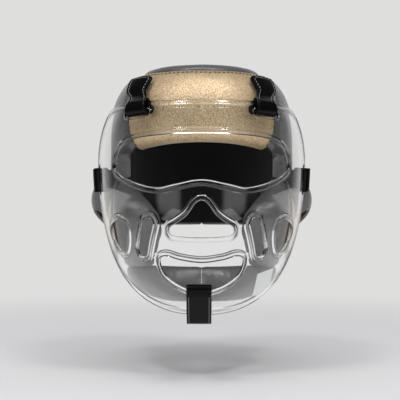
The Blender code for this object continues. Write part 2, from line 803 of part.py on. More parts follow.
def near(points, loop, distance):
    return np.min(np.linalg.norm(points[:, None] - loop[None], axis=2), 1) < distance


def grown(loop, distance):
    """An outline moved outwards by a distance."""
    ahead = np.roll(loop, -1, 0) - np.roll(loop, 1, 0)
    area = np.sum(loop[:, 0] * np.roll(loop[:, 1], -1) - loop[:, 1] * np.roll(loop[:, 0], -1))
    return loop + unit(np.stack([ahead[:, 1], -ahead[:, 0]], 1)) * np.sign(area) * distance


def build_shield():
    """The shield is filled between its outline and its openings on a flat sheet, which is then bent to
    shape, with a lip round each opening, and given its thickness inwards."""
    spacing = 15 * MM
    flat_turn = (SHIELD_HALF_WIDTH + SHIELD_DEPTH) / 2

    def flat(outline):
        return np.stack([outline[0] * flat_turn, outline[1]], 1)

    edge = flat(shield_edge(np.linspace(0, 2 * math.pi, 80, endpoint=False)))
    openings = [
        flat(front_outline(mirrored_outline(half), count))
        for half, count in ((EYE_OPENING, 3), (NOSE_OPENING, 2), (MOUTH_OPENING, 3))
    ]
    openings += [flat(slot) for slot in cheek_slots() + strap_slots()]
    lips = [grown(loop, LIP_WIDTH) for loop in openings[:7]]

    low, high = edge.min(0), edge.max(0)
    columns, rows = (np.arange(low[axis], high[axis], spacing) for axis in (0, 1))
    grid = np.stack(np.meshgrid(columns, rows), -1).reshape(-1, 2) - (low + high) / 2 % spacing
    loops = [edge] + openings
    keep = inside(grid, edge)
    for loop in loops:
        keep &= ~near(grid, loop, 0.75 * spacing)
    for loop in openings:
        keep &= ~inside(grid, loop)
    for lip in lips:
        keep &= ~near(grid, lip, 0.4 * spacing)
    spots = [grid[keep]]
    for index, lip in enumerate(lips):
        free = inside(lip, edge) & ~near(lip, edge, LIP_WIDTH)
        for other, loop in enumerate(openings):
            if other != index:
                free &= ~inside(lip, loop) & ~near(lip, loop, LIP_WIDTH)
        spots.append(lip[free])

    points = np.concatenate(loops + spots)
    links = []
    start = 0
    for loop in loops:
        links += [(start + step, start + (step + 1) % len(loop)) for step in range(len(loop))]
        start += len(loop)
    found, _, faces, originals, _, _ = delaunay_2d_cdt([Vector(point) for point in points], links, [], 0, 1e-7)
    sheet = np.array([tuple(point) for point in found])
    middles = np.array([sheet[list(face)].mean(0) for face in faces])
    kept = inside(middles, edge)
    for loop in openings:
        kept &= ~inside(middles, loop)

    lipped = np.zeros(len(sheet))
    lip_count = len(edge) + sum(len(loop) for loop in openings[:7])
    for index, sources in enumerate(originals):
        if any(len(edge) <= source < lip_count for source in sources):
            lipped[index] = LIP_RISE
    bent = shield_point(sheet[:, 0] / flat_turn, sheet[:, 1], lipped)

    mesh = bmesh.new()
    verts = [mesh.verts.new(spot) for spot in bent]
    for face, wanted in zip(faces, kept):
        if wanted:
            mesh.faces.new([verts[corner] for corner in face])
    bmesh.ops.delete(mesh, geom=[vert for vert in mesh.verts if not vert.link_faces], context="VERTS")
    data = bpy.data.meshes.new("face_shield")
    mesh.to_mesh(data)
    mesh.free()
    data.materials.append(CLEAR_PLASTIC)
    data.shade_smooth()
    shield = bpy.data.objects.new("face_shield", data)
    PARTS.objects.link(shield)
    wall = shield.modifiers.new("wall", "SOLIDIFY")
    wall.thickness = SHIELD_THICKNESS
    wall.offset = -1
    return shield


# Straps


def two_circle_outline(start, start_radius, end, end_radius, count=9):
    """The outline of a band pulled round two circles."""
    start, end = np.array(start), np.array(end)
    apart = np.linalg.norm(end - start)
    heading = math.atan2(*(end - start)[::-1])
    lean = math.acos((start_radius - end_radius) / apart)
    far = heading + np.linspace(-lean, lean, count)
    close = heading + np.linspace(lean, 2 * math.pi - lean, count)
    around_end = end + end_radius * np.stack([np.cos(far), np.sin(far)], 1)
    around_start = start + start_radius * np.stack([np.cos(close), np.sin(close)], 1)
    return np.concatenate([around_end, around_start])


def build_loop(name, bar, run, outward, fold, fold_radius, end, width):
    """The leather loop round a bar: a band through the slot and back, drawn together at its end. fold and
    end are its two centres, along the run and outwards from the middle of the bar."""
    curve = bpy.data.curves.new(name, "CURVE")
    curve.dimensions = "2D"
    curve.fill_mode = "BOTH"
    curve.extrude = width / 2
    for growth in (0, STRAP):
        outline = two_circle_outline(fold, fold_radius + growth, end, LOOP_END_RADIUS + growth)
        spline = curve.splines.new("POLY")
        spline.points.add(len(outline) - 1)
        for point, spot in zip(spline.points, outline):
            point.co = (*spot, 0, 1)
        spline.use_cyclic_u = True
    curve.materials.append(BLACK_LEATHER)
    loop = bpy.data.objects.new(name, curve)
    along = np.cross(run, outward)
    turn = Matrix([run, outward, along]).transposed().to_4x4()
    loop.matrix_world = Matrix.Translation(bar) @ turn
    PARTS.objects.link(loop)
    return loop


def ribbon(path, width, low, high, level_ends=False):
    """Places a band on the head along a path on its surface, between two heights over it. Its ends are
    square to the path, or else level."""

    def place(s, t, w):
        step = 0.001
        middle = path(t)
        ahead = np.array([0, 0, 1]) if level_ends else path(t + step) - path(t - step)
        across = unit(np.cross(head_normal(middle), ahead))
        base = onto_head(middle + across * ((s - 0.5) * width)[:, None])
        return lifted(base, mix(low, high, w))

    return place


def build_tail(name, path, root, patch_start, level_ends):
    """A strap's tail and its hook patch, and the loop patch on the guard that it sticks to. They lie along
    a path on the head, from the tail's root at 0 to its end at 1."""

    def patch_path(t):
        return path(mix(patch_start, 0.94, t))

    def patch(low):
        return ribbon(patch_path, STRAP_WIDTH - 2 * PATCH_MARGIN, low, low + PATCH, level_ends)

    strap = ribbon(path, STRAP_WIDTH, TAIL_LOW, TAIL_LOW + STRAP, level_ends)
    tail = slab(name + "_tail", 4, 14, strap, BLACK_LEATHER)
    hook = slab(name + "_hook_patch", 4, 11, patch(HOOK_PATCH_LOW), HOOK_AND_LOOP)
    slab(name + "_loop_patch", 4, 11, patch(LOOP_PATCH_LOW), HOOK_AND_LOOP)
    carry(root, tail, hook)


def hinge_spot(path):
    """Where a tail is hinged: the middle of its root."""
    start = path(np.array([0.0]))
    return Vector(lifted(start, np.array([TAIL_MIDDLE]))[0])


def meet_head(start, run, along, distance):
    """The place on the head under a point a distance along a strap, kept in the strap's own plane."""
    ahead = np.array(start + run * distance)
    sideways = np.array(along)
    base = onto_head(ahead)
    for _ in range(6):
        over = lifted(base, np.array(TAIL_MIDDLE))
        ahead = ahead - sideways * np.dot(over - np.array(start), sideways)
        base = onto_head(ahead)
    return base


LOOP_REACH = LOOP_END_RADIUS + STRAP + HINGE_CLEARANCE + STRAP / 2


def bar_frame(angle, level, upright):
    """Middle of a bar of the shield, and the directions across it, out of it and along it."""
    step = 0.1 * MM
    middle = shield_point(np.array(angle), np.array(level), np.array(-SHIELD_THICKNESS / 2))
    outside = shield_point(np.array(angle), np.array(level), np.array(step))
    outward = Vector(unit(outside - middle))
    turn, rise = (step, 0) if upright else (0, step)
    after = shield_point(np.array(angle + turn), np.array(level + rise))
    before = shield_point(np.array(angle - turn), np.array(level - rise))
    run = Vector(unit(after - before)) * (math.copysign(1, angle) if upright else 1)
    return Vector(middle), run, outward, run.cross(outward)


def build_top_strap(name, side, shield_frame):
    bar, run, outward, along = bar_frame(TOP_STRAP_ANGLE * side, TOP_BAR_LEVEL, upright=False)
    base = meet_head(bar, run, along, TOP_LOOP_RUN)
    end = Vector(lifted(base, np.array(TAIL_MIDDLE))) - bar
    fold = (-BAR / 2, 0)
    close = (end.dot(run), end.dot(outward))
    loop = build_loop(name + "_strap_loop", bar, run, outward, fold, FOLD_RADIUS, close, STRAP_WIDTH)
    carry(shield_frame, loop)
    slope = head_normal(base)
    start_level = base[2] + LOOP_REACH * math.hypot(slope[0], slope[1])

    def path(t):
        return face_point(mix(base[0], side * TOP_TAIL_OFFSET, t), mix(start_level, TOP_TAIL_LEVEL, t))

    root = hinge_frame(name + "_hinge", hinge_spot(path), shield_frame)
    build_tail(name, path, root, 0.2, level_ends=True)


def build_side_strap(name, side, shield_frame):
    bar, run, outward, along = bar_frame(SIDE_BAR_ANGLE * side, SIDE_STRAP_LEVEL, upright=True)
    base = meet_head(bar, run, along, SIDE_LOOP_RUN)
    end = Vector(lifted(base, np.array(TAIL_MIDDLE))) - bar
    fold = (-BAR / 2, 0)
    close = (end.dot(run), end.dot(outward))
    loop = build_loop(name + "_strap_loop", bar, run, outward, fold, FOLD_RADIUS, close, STRAP_WIDTH)
    carry(shield_frame, loop)
    start = math.atan2(abs(base[0]) / HEAD_HALF_WIDTH, -base[1] / HEAD_FRONT)
    start += LOOP_REACH / (HEAD_FRONT + COVER_TOP)

    def path(t):
        return head_point(side * mix(start, SIDE_TAIL_ANGLE, t), base[2] + 0 * t)

    root = hinge_frame(name + "_hinge", hinge_spot(path), shield_frame)
    build_tail(name, path, root, 0.15, level_ends=False)


def lowest_point(part):
    return min((part.matrix_world @ vert.co).z for vert in part.data.vertices)


def build_chin_strap(name, shield_frame):
    """The strap round the shield's bottom bar. Its tail sticks under a leather tab on the chin pad."""
    mouth_low = MOUTH_OPENING[-1][1] * MM
    bar, up, outward, along = bar_frame(0.0, (mouth_low + SHIELD_LOW) / 2, upright=False)
    run = -up
    middle = np.array(-SHIELD_THICKNESS / 2)
    bar_top = Vector(shield_point(np.array(0.0), np.array(mouth_low), middle)) - bar
    bar_end = Vector(shield_point(np.array(0.0), np.array(SHIELD_LOW), middle)) - bar
    fold = (bar_top.dot(run), bar_top.dot(outward) / 2)
    end = (bar_end.dot(run) + CHIN_LOOP_DROP, 2 * bar_end.dot(outward))
    loop = build_loop(name + "_strap_loop", bar, run, outward, fold, CHIN_FOLD_RADIUS, end, CHIN_STRAP_WIDTH)
    carry(shield_frame, loop)

    tab_top = lowest_point(chin_parts[2]) - REST_GAP
    tail_top = tab_top - STRAP - 2 * (PATCH + LAYER_GAP) - LAYER_GAP
    corner = bar + run * end[0] + outward * end[1]
    root_y = corner.y + LOOP_REACH
    root_z = corner.z

    def tail_place(s, t, w):
        y = root_y + CHIN_TAIL_LENGTH * t
        level = mix(root_z + STRAP / 2, tail_top, smooth_step(y, root_y, root_y + CHIN_TAIL_RISE))
        return np.stack([(s - 0.5) * CHIN_STRAP_WIDTH, y, level - STRAP * (1 - w)], -1)

    def flat(width, start, length, top, thickness):
        def place(s, t, w):
            return np.stack([(s - 0.5) * width, start + length * t, top - thickness * (1 - w)], -1)

        return place

    patch_start = root_y + CHIN_TAIL_RISE + PATCH_MARGIN
    patch_length = root_y + CHIN_TAIL_LENGTH - PATCH_MARGIN - patch_start
    patch_width = CHIN_STRAP_WIDTH - 2 * PATCH_MARGIN
    loop_top = tab_top - STRAP - LAYER_GAP
    hook_top = loop_top - PATCH - LAYER_GAP
    hook_place = flat(patch_width, patch_start, patch_length, hook_top, PATCH)
    loop_place = flat(patch_width, patch_start, patch_length, loop_top, PATCH)
    tab_place = flat(CHIN_TAB_WIDTH, patch_start - PATCH_MARGIN, CHIN_TAB_LENGTH, tab_top, STRAP)
    tail = slab(name + "_tail", 2, 14, tail_place, BLACK_LEATHER)
    hook = slab(name + "_hook_patch", 1, 1, hook_place, HOOK_AND_LOOP)
    slab(name + "_loop_patch", 1, 1, loop_place, HOOK_AND_LOOP)
    slab("chin_tab", 1, 1, tab_place, BLACK_LEATHER)
    root = hinge_frame(name + "_hinge", (0, root_y, root_z), shield_frame)
    carry(root, tail, hook)


def build_rear_strap():
    """The strap that closes the slit down the back: sewn to the left flap, stuck to the right one."""
    root_low = COVER_TOP + REST_GAP

    def path(t):
        return head_point(mix(REAR_ROOT_ANGLE, REAR_END_ANGLE, t), REAR_STRAP_LEVEL + 0 * t)

    def strap_place(s, t, w):
        low = mix(root_low, TAIL_LOW, smooth_step(t, 0, 0.4))
        return ribbon(path, REAR_STRAP_WIDTH, low, low + STRAP)(s, t, w)

    start = (REAR_PATCH_ANGLE - REAR_ROOT_ANGLE) / (REAR_END_ANGLE - REAR_ROOT_ANGLE)

    def patch_path(t):
        return path(mix(start, 0.97, t))

    patch_width = REAR_STRAP_WIDTH - 2 * PATCH_MARGIN
    hook_place = ribbon(patch_path, patch_width, HOOK_PATCH_LOW, HOOK_PATCH_LOW + PATCH)
    loop_place = ribbon(patch_path, patch_width, LOOP_PATCH_LOW, LOOP_PATCH_LOW + PATCH)
    strap = slab("rear_strap", 4, 14, strap_place, BLACK_LEATHER)
    hook = slab("rear_hook_patch", 4, 5, hook_place, HOOK_AND_LOOP)
    slab("rear_loop_patch", 4, 5, loop_place, HOOK_AND_LOOP)
    spot = lifted(path(np.array([0.0])), np.array([root_low + STRAP / 2]))[0]
    carry(hinge_frame("rear_strap_hinge", spot), strap, hook)


def build_tag():
    """A blank tag sewn under the left cheek pad, hanging in front of the chin pad."""
    base = head_point(np.array([TAG_ANGLE]), np.array([CHIN_TOP - TAG_DROP]))
    middle = lifted(base, np.array([COVER_TOP + TAG_STANDOFF]))[0]

    def place(s, t, w):
        across = (s - 0.5) * TAG_WIDTH
        up = (t - 0.5) * TAG_LENGTH
        out = TAG * w + TAG_LEAN * up
        x = middle[0] + across * math.cos(TAG_TURN) + out * math.sin(TAG_TURN)
        y = middle[1] + across * math.sin(TAG_TURN) - out * math.cos(TAG_TURN)
        return np.stack([x, y, middle[2] + TAG_SLANT * (s - 0.5) + up], -1)

    slab("sewn_tag", 1, 1, place, WHITE_CLOTH)


shield_hinge = hinge_frame("shield_slide", (0, SHIELD_AXIS, SHIELD_MIDDLE))
carry(shield_hinge, build_shield())
build_top_strap("top_left", 1, shield_hinge)
build_top_strap("top_right", -1, shield_hinge)
build_side_strap("side_left", 1, shield_hinge)
build_side_strap("side_right", -1, shield_hinge)
build_chin_strap("chin_strap", shield_hinge)
build_rear_strap()
build_tag()
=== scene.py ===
"""A full-face boxing headgear with a clear face shield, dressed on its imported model.

The file follows the headgear as it is sewn and put together: linings, pads, ear cups and trim, then the
shield and its straps, then the strap that closes the back, and last the floor, the lights and the camera.
Metres, +Z up. The wearer faces -Y, so the wearer's left is +X.
"""

import math

import bpy
import numpy as np
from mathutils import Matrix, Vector
from mathutils.geometry import delaunay_2d_cdt


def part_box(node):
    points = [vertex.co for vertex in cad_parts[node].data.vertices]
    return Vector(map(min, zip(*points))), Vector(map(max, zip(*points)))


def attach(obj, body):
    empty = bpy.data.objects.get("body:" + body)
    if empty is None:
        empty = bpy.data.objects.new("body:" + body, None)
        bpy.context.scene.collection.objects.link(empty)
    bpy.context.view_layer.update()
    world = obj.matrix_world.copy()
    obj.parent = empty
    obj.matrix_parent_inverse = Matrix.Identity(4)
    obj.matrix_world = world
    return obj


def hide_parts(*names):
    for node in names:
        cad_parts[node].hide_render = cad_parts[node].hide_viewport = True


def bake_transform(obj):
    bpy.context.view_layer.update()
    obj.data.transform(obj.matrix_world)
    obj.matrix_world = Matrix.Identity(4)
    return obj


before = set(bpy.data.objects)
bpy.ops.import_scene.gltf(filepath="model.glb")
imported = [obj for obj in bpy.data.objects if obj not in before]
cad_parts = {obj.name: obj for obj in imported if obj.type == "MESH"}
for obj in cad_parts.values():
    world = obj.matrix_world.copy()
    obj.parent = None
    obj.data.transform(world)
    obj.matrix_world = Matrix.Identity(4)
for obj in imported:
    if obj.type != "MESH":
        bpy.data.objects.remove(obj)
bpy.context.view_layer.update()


# Linings
# Nine panels of black brushed cloth lie against the head, one behind each pad, sewn edge to edge. Each is
# cut to its pad and drawn smooth over the pad's inside, so its shape is the egg of the head itself.

MM = 0.001
DEG = math.pi / 180

HEAD_HALF_WIDTH = 78 * MM
HEAD_FRONT = 93 * MM
HEAD_BACK = 97 * MM
HEAD_WIDEST = 10 * MM
HEAD_CROWN = 76 * MM
HEAD_JAW = 168 * MM
HEAD_TOP_SQUARENESS = 4
HEAD_LOW_SQUARENESS = 2.6

EASE = 0.5 * MM  # between the head and the lining
LINING = 1.2 * MM
SEAM = 4.3 * MM  # between the foam cores of two pads
COVER_TOP = 18 * MM  # outside of the pads over the head

PAD_TOP = 79 * MM
BROW = 23.5 * MM
BROW_ARCH = 6 * MM
PANEL_ANGLE_LOW = 46 * DEG
PANEL_ANGLE_HIGH = 55 * DEG
EYE_EDGE_ANGLE = 64 * DEG
CHEEK_REAR_ANGLE = 92 * DEG
CHEEK_JAW_ANGLE = 101 * DEG
EAR_ANGLE = 113 * DEG
EAR_LEVEL = -33 * MM
EAR_HOLE = 18 * MM
PUNCH_REACH = -25 * MM, 60 * MM
PUNCH_SIDES = 48
LINING_COLUMNS, LINING_ROWS = 60, 50
EAR_TURN = math.hypot(HEAD_HALF_WIDTH * math.cos(EAR_ANGLE), HEAD_BACK * math.sin(EAR_ANGLE))
SIDE_REAR_ANGLE = EAR_ANGLE + (EAR_HOLE + 3.5 * MM) / EAR_TURN
SIDE_NOTCH_ANGLE = (EYE_EDGE_ANGLE + SIDE_REAR_ANGLE) / 2
SIDE_LOW = -66 * MM
BACK_LOW = -60 * MM
CHEEK_TOP = -15 * MM
CHEEK_REAR_TOP = -36 * MM
CHEEK_LOW = -96 * MM
CHIN_TOP = CHEEK_LOW - SEAM
CHIN_LOW = -128.5 * MM
CHIN_END_LOW = -106 * MM
CHIN_END_ANGLE = 76 * DEG
CHIN_ROUNDNESS = 5
MOUTH_ANGLE = 44 * DEG
SEAM_FADE = 14 * DEG


def unit(vectors):
    """Vectors divided by their lengths."""
    return vectors / np.linalg.norm(vectors, axis=-1, keepdims=True)


def mix(start, end, share):
    """Straight line from start to end."""
    return start + (end - start) * share


def smooth_step(value, start, end):
    """0 before start, 1 after end, and three times the square less twice the cube between them."""
    share = np.clip((value - start) / (end - start), 0, 1)
    return share * share * (3 - 2 * share)


def curve_through(points):
    """A smooth function through (value, result) pairs: tangent lines at two pairs, mixed by a smooth step."""
    at, to = np.array(points, dtype=float).T
    slope = np.gradient(to, at)

    def result(value):
        value = np.clip(value, at[0], at[-1])
        step = np.clip(np.searchsorted(at, value, side="right") - 1, 0, len(at) - 2)
        width = at[step + 1] - at[step]
        share = (value - at[step]) / width
        start = to[step] + slope[step] * width * share
        end = to[step + 1] - slope[step + 1] * width * (1 - share)
        return mix(start, end, share * share * (3 - 2 * share))

    return result


def head_form(level):
    """Height of the head above or below its widest level, and the power of its superellipse on that side."""
    above = level > HEAD_WIDEST
    return np.where(above, HEAD_CROWN, HEAD_JAW), np.where(above, HEAD_TOP_SQUARENESS, HEAD_LOW_SQUARENESS)


def head_share(level):
    """Width of the head at a height, as a share of its widest level: a superellipse upwards and downwards."""
    reach, square = head_form(level)
    rise = np.clip(np.abs((level - HEAD_WIDEST) / reach), 0, 0.999)
    return (1 - rise**square) ** (1 / square)


def head_depth(y):
    """Half length of the head in front of its middle, or behind it."""
    return np.where(y < 0, HEAD_FRONT, HEAD_BACK)


def head_point(azimuth, level):
    """A point of the head: an ellipse round the upright axis, shrunk by the share at that height."""
    share = head_share(level)
    forward = -np.cos(azimuth) * share
    return np.stack([np.sin(azimuth) * share * HEAD_HALF_WIDTH, forward * head_depth(forward), level], -1)


def crown_point(across, along):
    """A point of the head over a place on the crown, given as shares of its half width and half length."""
    share = np.clip(np.hypot(across, along), 0, 0.999)
    rise = (1 - share**HEAD_TOP_SQUARENESS) ** (1 / HEAD_TOP_SQUARENESS)
    level = HEAD_WIDEST + HEAD_CROWN * rise
    return np.stack([across * HEAD_HALF_WIDTH, along * head_depth(along), level], -1)


def head_normal(points):
    """Outward direction at points of the head: the slope of its superellipsoid's equation."""
    x, y, z = np.moveaxis(points, -1, 0)
    depth = head_depth(y)
    reach, square = head_form(z)
    rise = (z - HEAD_WIDEST) / reach
    round_part = np.hypot(x / HEAD_HALF_WIDTH, y / depth) ** (square - 2)
    upward = np.sign(rise) * np.abs(rise) ** (square - 1) / reach
    return unit(np.stack([round_part * x / HEAD_HALF_WIDTH**2, round_part * y / depth**2, upward], -1))


def lifted(points, height):
    """Points of the head moved outwards by a height."""
    return points + head_normal(points) * np.asarray(height)[..., None]


class Outline:
    """One pad's outline on the head. Its front and rear edges are angles at a height, and its low and high
    edges are heights at an angle. sewn says which of the four edges its lining is sewn on to the next at."""

    def __init__(self, front, rear, low, high, sewn):
        self.front, self.rear, self.low, self.high = front, rear, low, high
        self.sewn = sewn
        self.hand = float(np.sign(rear(0.0) - front(0.0)))

    def spot(self, along, up):
        """Angle and height at shares of the pad's length and height, by walking back and forth between the
        edges' equations until they agree."""
        azimuth = mix(self.front(0 * along), self.rear(0 * along), along)
        level = 0 * along
        for _ in range(12):
            level = mix(self.low(azimuth), self.high(azimuth), up)
            azimuth = mix(self.front(level), self.rear(level), along)
        return azimuth, level

    def distances(self, along, up):
        """Distances on the head from the front, rear, low and high edges."""
        azimuth, level = self.spot(along, up)
        turn = np.hypot(HEAD_HALF_WIDTH * np.cos(azimuth), HEAD_FRONT * np.sin(azimuth)) * head_share(level)
        length = np.abs(self.rear(level) - self.front(level)) * turn
        height = self.high(azimuth) - self.low(azimuth)
        return length * along, length * (1 - along), height * up, height * (1 - up)

    def on_head(self, along, up):
        return head_point(*self.spot(along, up))


class CrownOutline:
    """The oval outline of the pad on the crown, as a share of the head's width and length."""

    def __init__(self, half_size):
        self.half_size = half_size
        self.sewn = (1, 1, 1, 1)
        self.hand = 1.0

    def spot(self, along, up):
        """Places of a square spread over an oval: each side bends out by the square of the other."""
        bend = 0.49
        across, ahead = 2 * along - 1, 2 * up - 1
        spread = np.sqrt(1 - bend * ahead**2), np.sqrt(1 - bend * across**2)
        return across * spread[0] * self.half_size, ahead * spread[1] * self.half_size

    def distances(self, along, up):
        """Distance from the oval's rim, once: the other three are out of reach."""
        inset = np.clip(self.half_size - np.hypot(*self.spot(along, up)), 0, 1) * HEAD_HALF_WIDTH
        return inset, 1 + 0 * inset, 1 + 0 * inset, 1 + 0 * inset

    def on_head(self, along, up):
        return crown_point(*self.spot(along, up))


def panel_edge(level):
    """Half angle of the forehead pad, wider at the top."""
    return mix(PANEL_ANGLE_LOW, PANEL_ANGLE_HIGH, np.clip((level - BROW) / (PAD_TOP - BROW), 0, 1))


def seam_angle(length, azimuth=0.0):
    """Angle that a length takes round the head."""
    return length / np.hypot(HEAD_HALF_WIDTH * np.cos(azimuth), HEAD_FRONT * np.sin(azimuth))


def side_front(level):
    """Front edge of a side pad: along the forehead pad, and below it along the eye opening."""
    beside_panel = panel_edge(level) + seam_angle(SEAM, PANEL_ANGLE_LOW) / head_share(level)
    return mix(EYE_EDGE_ANGLE, beside_panel, smooth_step(level, BROW - 2 * BROW_ARCH, BROW + BROW_ARCH / 2))


def cheek_seam(azimuth):
    """Upper edge of a cheek pad, falling straight from the eye opening to the ear."""
    share = np.clip((azimuth - EYE_EDGE_ANGLE) / (CHEEK_REAR_ANGLE - EYE_EDGE_ANGLE), 0, 1)
    return mix(CHEEK_TOP, CHEEK_REAR_TOP, share)


def cheek_rear(level):
    """Rear edge of a cheek pad, slanting back to the jaw."""
    share = np.clip((CHEEK_REAR_TOP - level) / (CHEEK_REAR_TOP - SIDE_LOW), 0, 1)
    return mix(CHEEK_REAR_ANGLE, CHEEK_JAW_ANGLE, share)


def side_low(azimuth):
    """Lower edge of a side pad: along the cheek pad's top, down its rear edge, and level behind it."""
    slope = (CHEEK_TOP - CHEEK_REAR_TOP) / (HEAD_FRONT * (CHEEK_REAR_ANGLE - EYE_EDGE_ANGLE))
    above_cheek = cheek_seam(azimuth) + SEAM * math.hypot(1, slope)
    drop = np.clip((azimuth - SIDE_NOTCH_ANGLE) / (CHEEK_JAW_ANGLE - CHEEK_REAR_ANGLE), 0, 1)
    return mix(above_cheek, SIDE_LOW, drop)


cheek_front = curve_through(
    [
        (level * MM, angle * DEG)
        for level, angle in ((-100, 46), (-90, 41), (-75, 35), (-58, 32), (-43, 37), (-28, 50), (-15, 62))
    ]
)


def chin_low(azimuth):
    """Lower edge of the chin pad, a fifth power that rises late to its ends."""
    return mix(CHIN_LOW, CHIN_END_LOW, np.abs(azimuth / CHIN_END_ANGLE) ** CHIN_ROUNDNESS)


def chin_seamed(azimuth):
    """Where the chin pad's upper edge is sewn to a cheek pad: 0 under the mouth, 1 beside it."""
    return smooth_step(np.abs(azimuth), MOUTH_ANGLE, MOUTH_ANGLE + SEAM_FADE)


def back_front(level):
    return SIDE_REAR_ANGLE + seam_angle(SEAM, SIDE_REAR_ANGLE) / head_share(level)


def back_rear(level):
    return math.pi - SEAM / 2 / HEAD_HALF_WIDTH / head_share(level)


def mirrored(function):
    return lambda value: -function(value)


def even(function):
    return lambda azimuth: function(np.abs(azimuth))


def constant(value):
    return lambda other: value + 0 * other


def both_sides(front, rear, low, high, sewn):
    """The outlines of a pair of pads, on the wearer's left and on the right."""
    left = Outline(front, rear, low, high, sewn)
    right = Outline(mirrored(front), mirrored(rear), even(low), even(high), sewn)
    return left, right


OUTLINES = {
    "forehead": Outline(
        mirrored(panel_edge),
        panel_edge,
        lambda azimuth: BROW - BROW_ARCH * (azimuth / PANEL_ANGLE_LOW) ** 2,
        constant(PAD_TOP),
        (1, 1, 0, 1),
    ),
    "chin": Outline(
        constant(-CHIN_END_ANGLE), constant(CHIN_END_ANGLE), chin_low, constant(CHIN_TOP), (0, 0, 0, 0)
    ),
    "crown": CrownOutline(float(head_share(np.array(PAD_TOP))) - SEAM / HEAD_HALF_WIDTH),
}
for part, edges in {
    "side": (side_front, constant(SIDE_REAR_ANGLE), side_low, constant(PAD_TOP), (1, 1, 1, 1)),
    "cheek": (cheek_front, cheek_rear, constant(CHEEK_LOW), cheek_seam, (0, 0, 1, 1)),
    "back": (back_front, back_rear, constant(BACK_LOW), constant(PAD_TOP), (1, 1, 0, 1)),
}.items():
    OUTLINES["left_" + part], OUTLINES["right_" + part] = both_sides(*edges)


def make_piece(name, points, faces, material, attributes=None):
    """One mesh piece from points and arrays of faces, turned so that its volume is positive."""
    points = np.asarray(points, dtype=float).reshape(-1, 3)
    volume = 0.0
    for group in faces:
        first = points[group[:, 0]]
        for corner in range(1, group.shape[1] - 1):
            volume += np.sum(first * np.cross(points[group[:, corner]], points[group[:, corner + 1]]))
    if volume < 0:
        faces = [group[:, ::-1] for group in faces]
    corners = np.concatenate([group.ravel() for group in faces])
    sizes = np.concatenate([np.full(len(group), group.shape[1]) for group in faces])
    mesh = bpy.data.meshes.new(name)
    mesh.vertices.add(len(points))
    mesh.vertices.foreach_set("co", points.ravel())
    mesh.loops.add(len(corners))
    mesh.loops.foreach_set("vertex_index", corners.astype(np.int32))
    mesh.polygons.add(len(sizes))
    mesh.polygons.foreach_set("loop_start", (np.cumsum(sizes) - sizes).astype(np.int32))
    mesh.update(calc_edges=True)
    for label, values in (attributes or {}).items():
        layer = mesh.attributes.new(label, "FLOAT", "POINT")
        layer.data.foreach_set("value", np.asarray(values, dtype=np.float32).ravel())
    mesh.shade_smooth()
    mesh.set_sharp_from_angle(angle=50 * DEG)
    mesh.materials.append(material)
    piece = bpy.data.objects.new(name, mesh)
    bpy.context.scene.collection.objects.link(piece)
    return piece


def grid_faces(index):
    """Four-sided faces between neighbours of an index grid."""
    return np.stack([index[:-1, :-1], index[:-1, 1:], index[1:, 1:], index[1:, :-1]], -1).reshape(-1, 4)


def closed_shell(name, under, top, material, attributes=None):
    """A closed piece from two like grids: one is its under side, one its top, and a wall joins their rims."""
    rows, columns = top.shape[:2]
    low = np.arange(rows * columns).reshape(rows, columns)
    high = low + rows * columns
    rim = np.concatenate([low[0, :-1], low[:-1, -1], low[-1, :0:-1], low[:0:-1, 0]])
    onward = np.roll(rim, -1)
    wall = np.stack([rim, onward, onward + rows * columns, rim + rows * columns], -1)
    faces = [np.concatenate([grid_faces(low)[:, ::-1], grid_faces(high), wall])]
    points = np.concatenate([under.reshape(-1, 3), top.reshape(-1, 3)])
    doubled = {label: np.tile(np.ravel(values), 2) for label, values in (attributes or {}).items()}
    return make_piece(name, points, faces, material, doubled)


def node(tree, kind, inputs=None, **settings):
    """A shader node with its settings, and its inputs set to values or linked to other nodes' outputs."""
    made = tree.nodes.new(kind)
    for label, value in settings.items():
        setattr(made, label, value)
    for label, value in (inputs or {}).items():
        socket = made.inputs[label]
        if isinstance(value, bpy.types.NodeSocket):
            tree.links.new(value, socket)
        else:
            socket.default_value = value
    return made


def colour_mix(tree, share, first, second):
    """A node that mixes two colours by a share."""
    return node(tree, "ShaderNodeMix", {0: share, 6: first, 7: second}, data_type="RGBA").outputs[2]


def arithmetic(tree, operation, *values):
    """A node that works out one number from up to three."""
    return node(tree, "ShaderNodeMath", dict(enumerate(values)), operation=operation).outputs[0]


def new_material(name, **sockets):
    """A material and its Principled shader, with the values that are the same all over set on its sockets."""
    material = bpy.data.materials.new(name)
    material.use_nodes = True
    shader = material.node_tree.nodes["Principled BSDF"]
    for label, value in sockets.items():
        shader.inputs[label.replace("_", " ")].default_value = value
    return material, material.node_tree, shader


def object_place(tree):
    return node(tree, "ShaderNodeTexCoord").outputs["Object"]


def noise(tree, place, scale, detail, rough=0.5):
    """Noise at a place, with so many swings to the metre and finer swings laid over them."""
    inputs = {"Vector": place, "Scale": scale, "Detail": detail, "Roughness": rough}
    return node(tree, "ShaderNodeTexNoise", inputs).outputs["Fac"]


def paint(tree, shader, value):
    """Links a colour that changes over the surface to a shader."""
    tree.links.new(value, shader.inputs["Base Color"])


def emboss(tree, shader, height, strength, depth):
    """Tilts a shader's surface as if a height from 0 to 1 stood so deep."""
    inputs = {"Height": height, "Strength": strength, "Distance": depth}
    tree.links.new(node(tree, "ShaderNodeBump", inputs).outputs["Normal"], shader.inputs["Normal"])


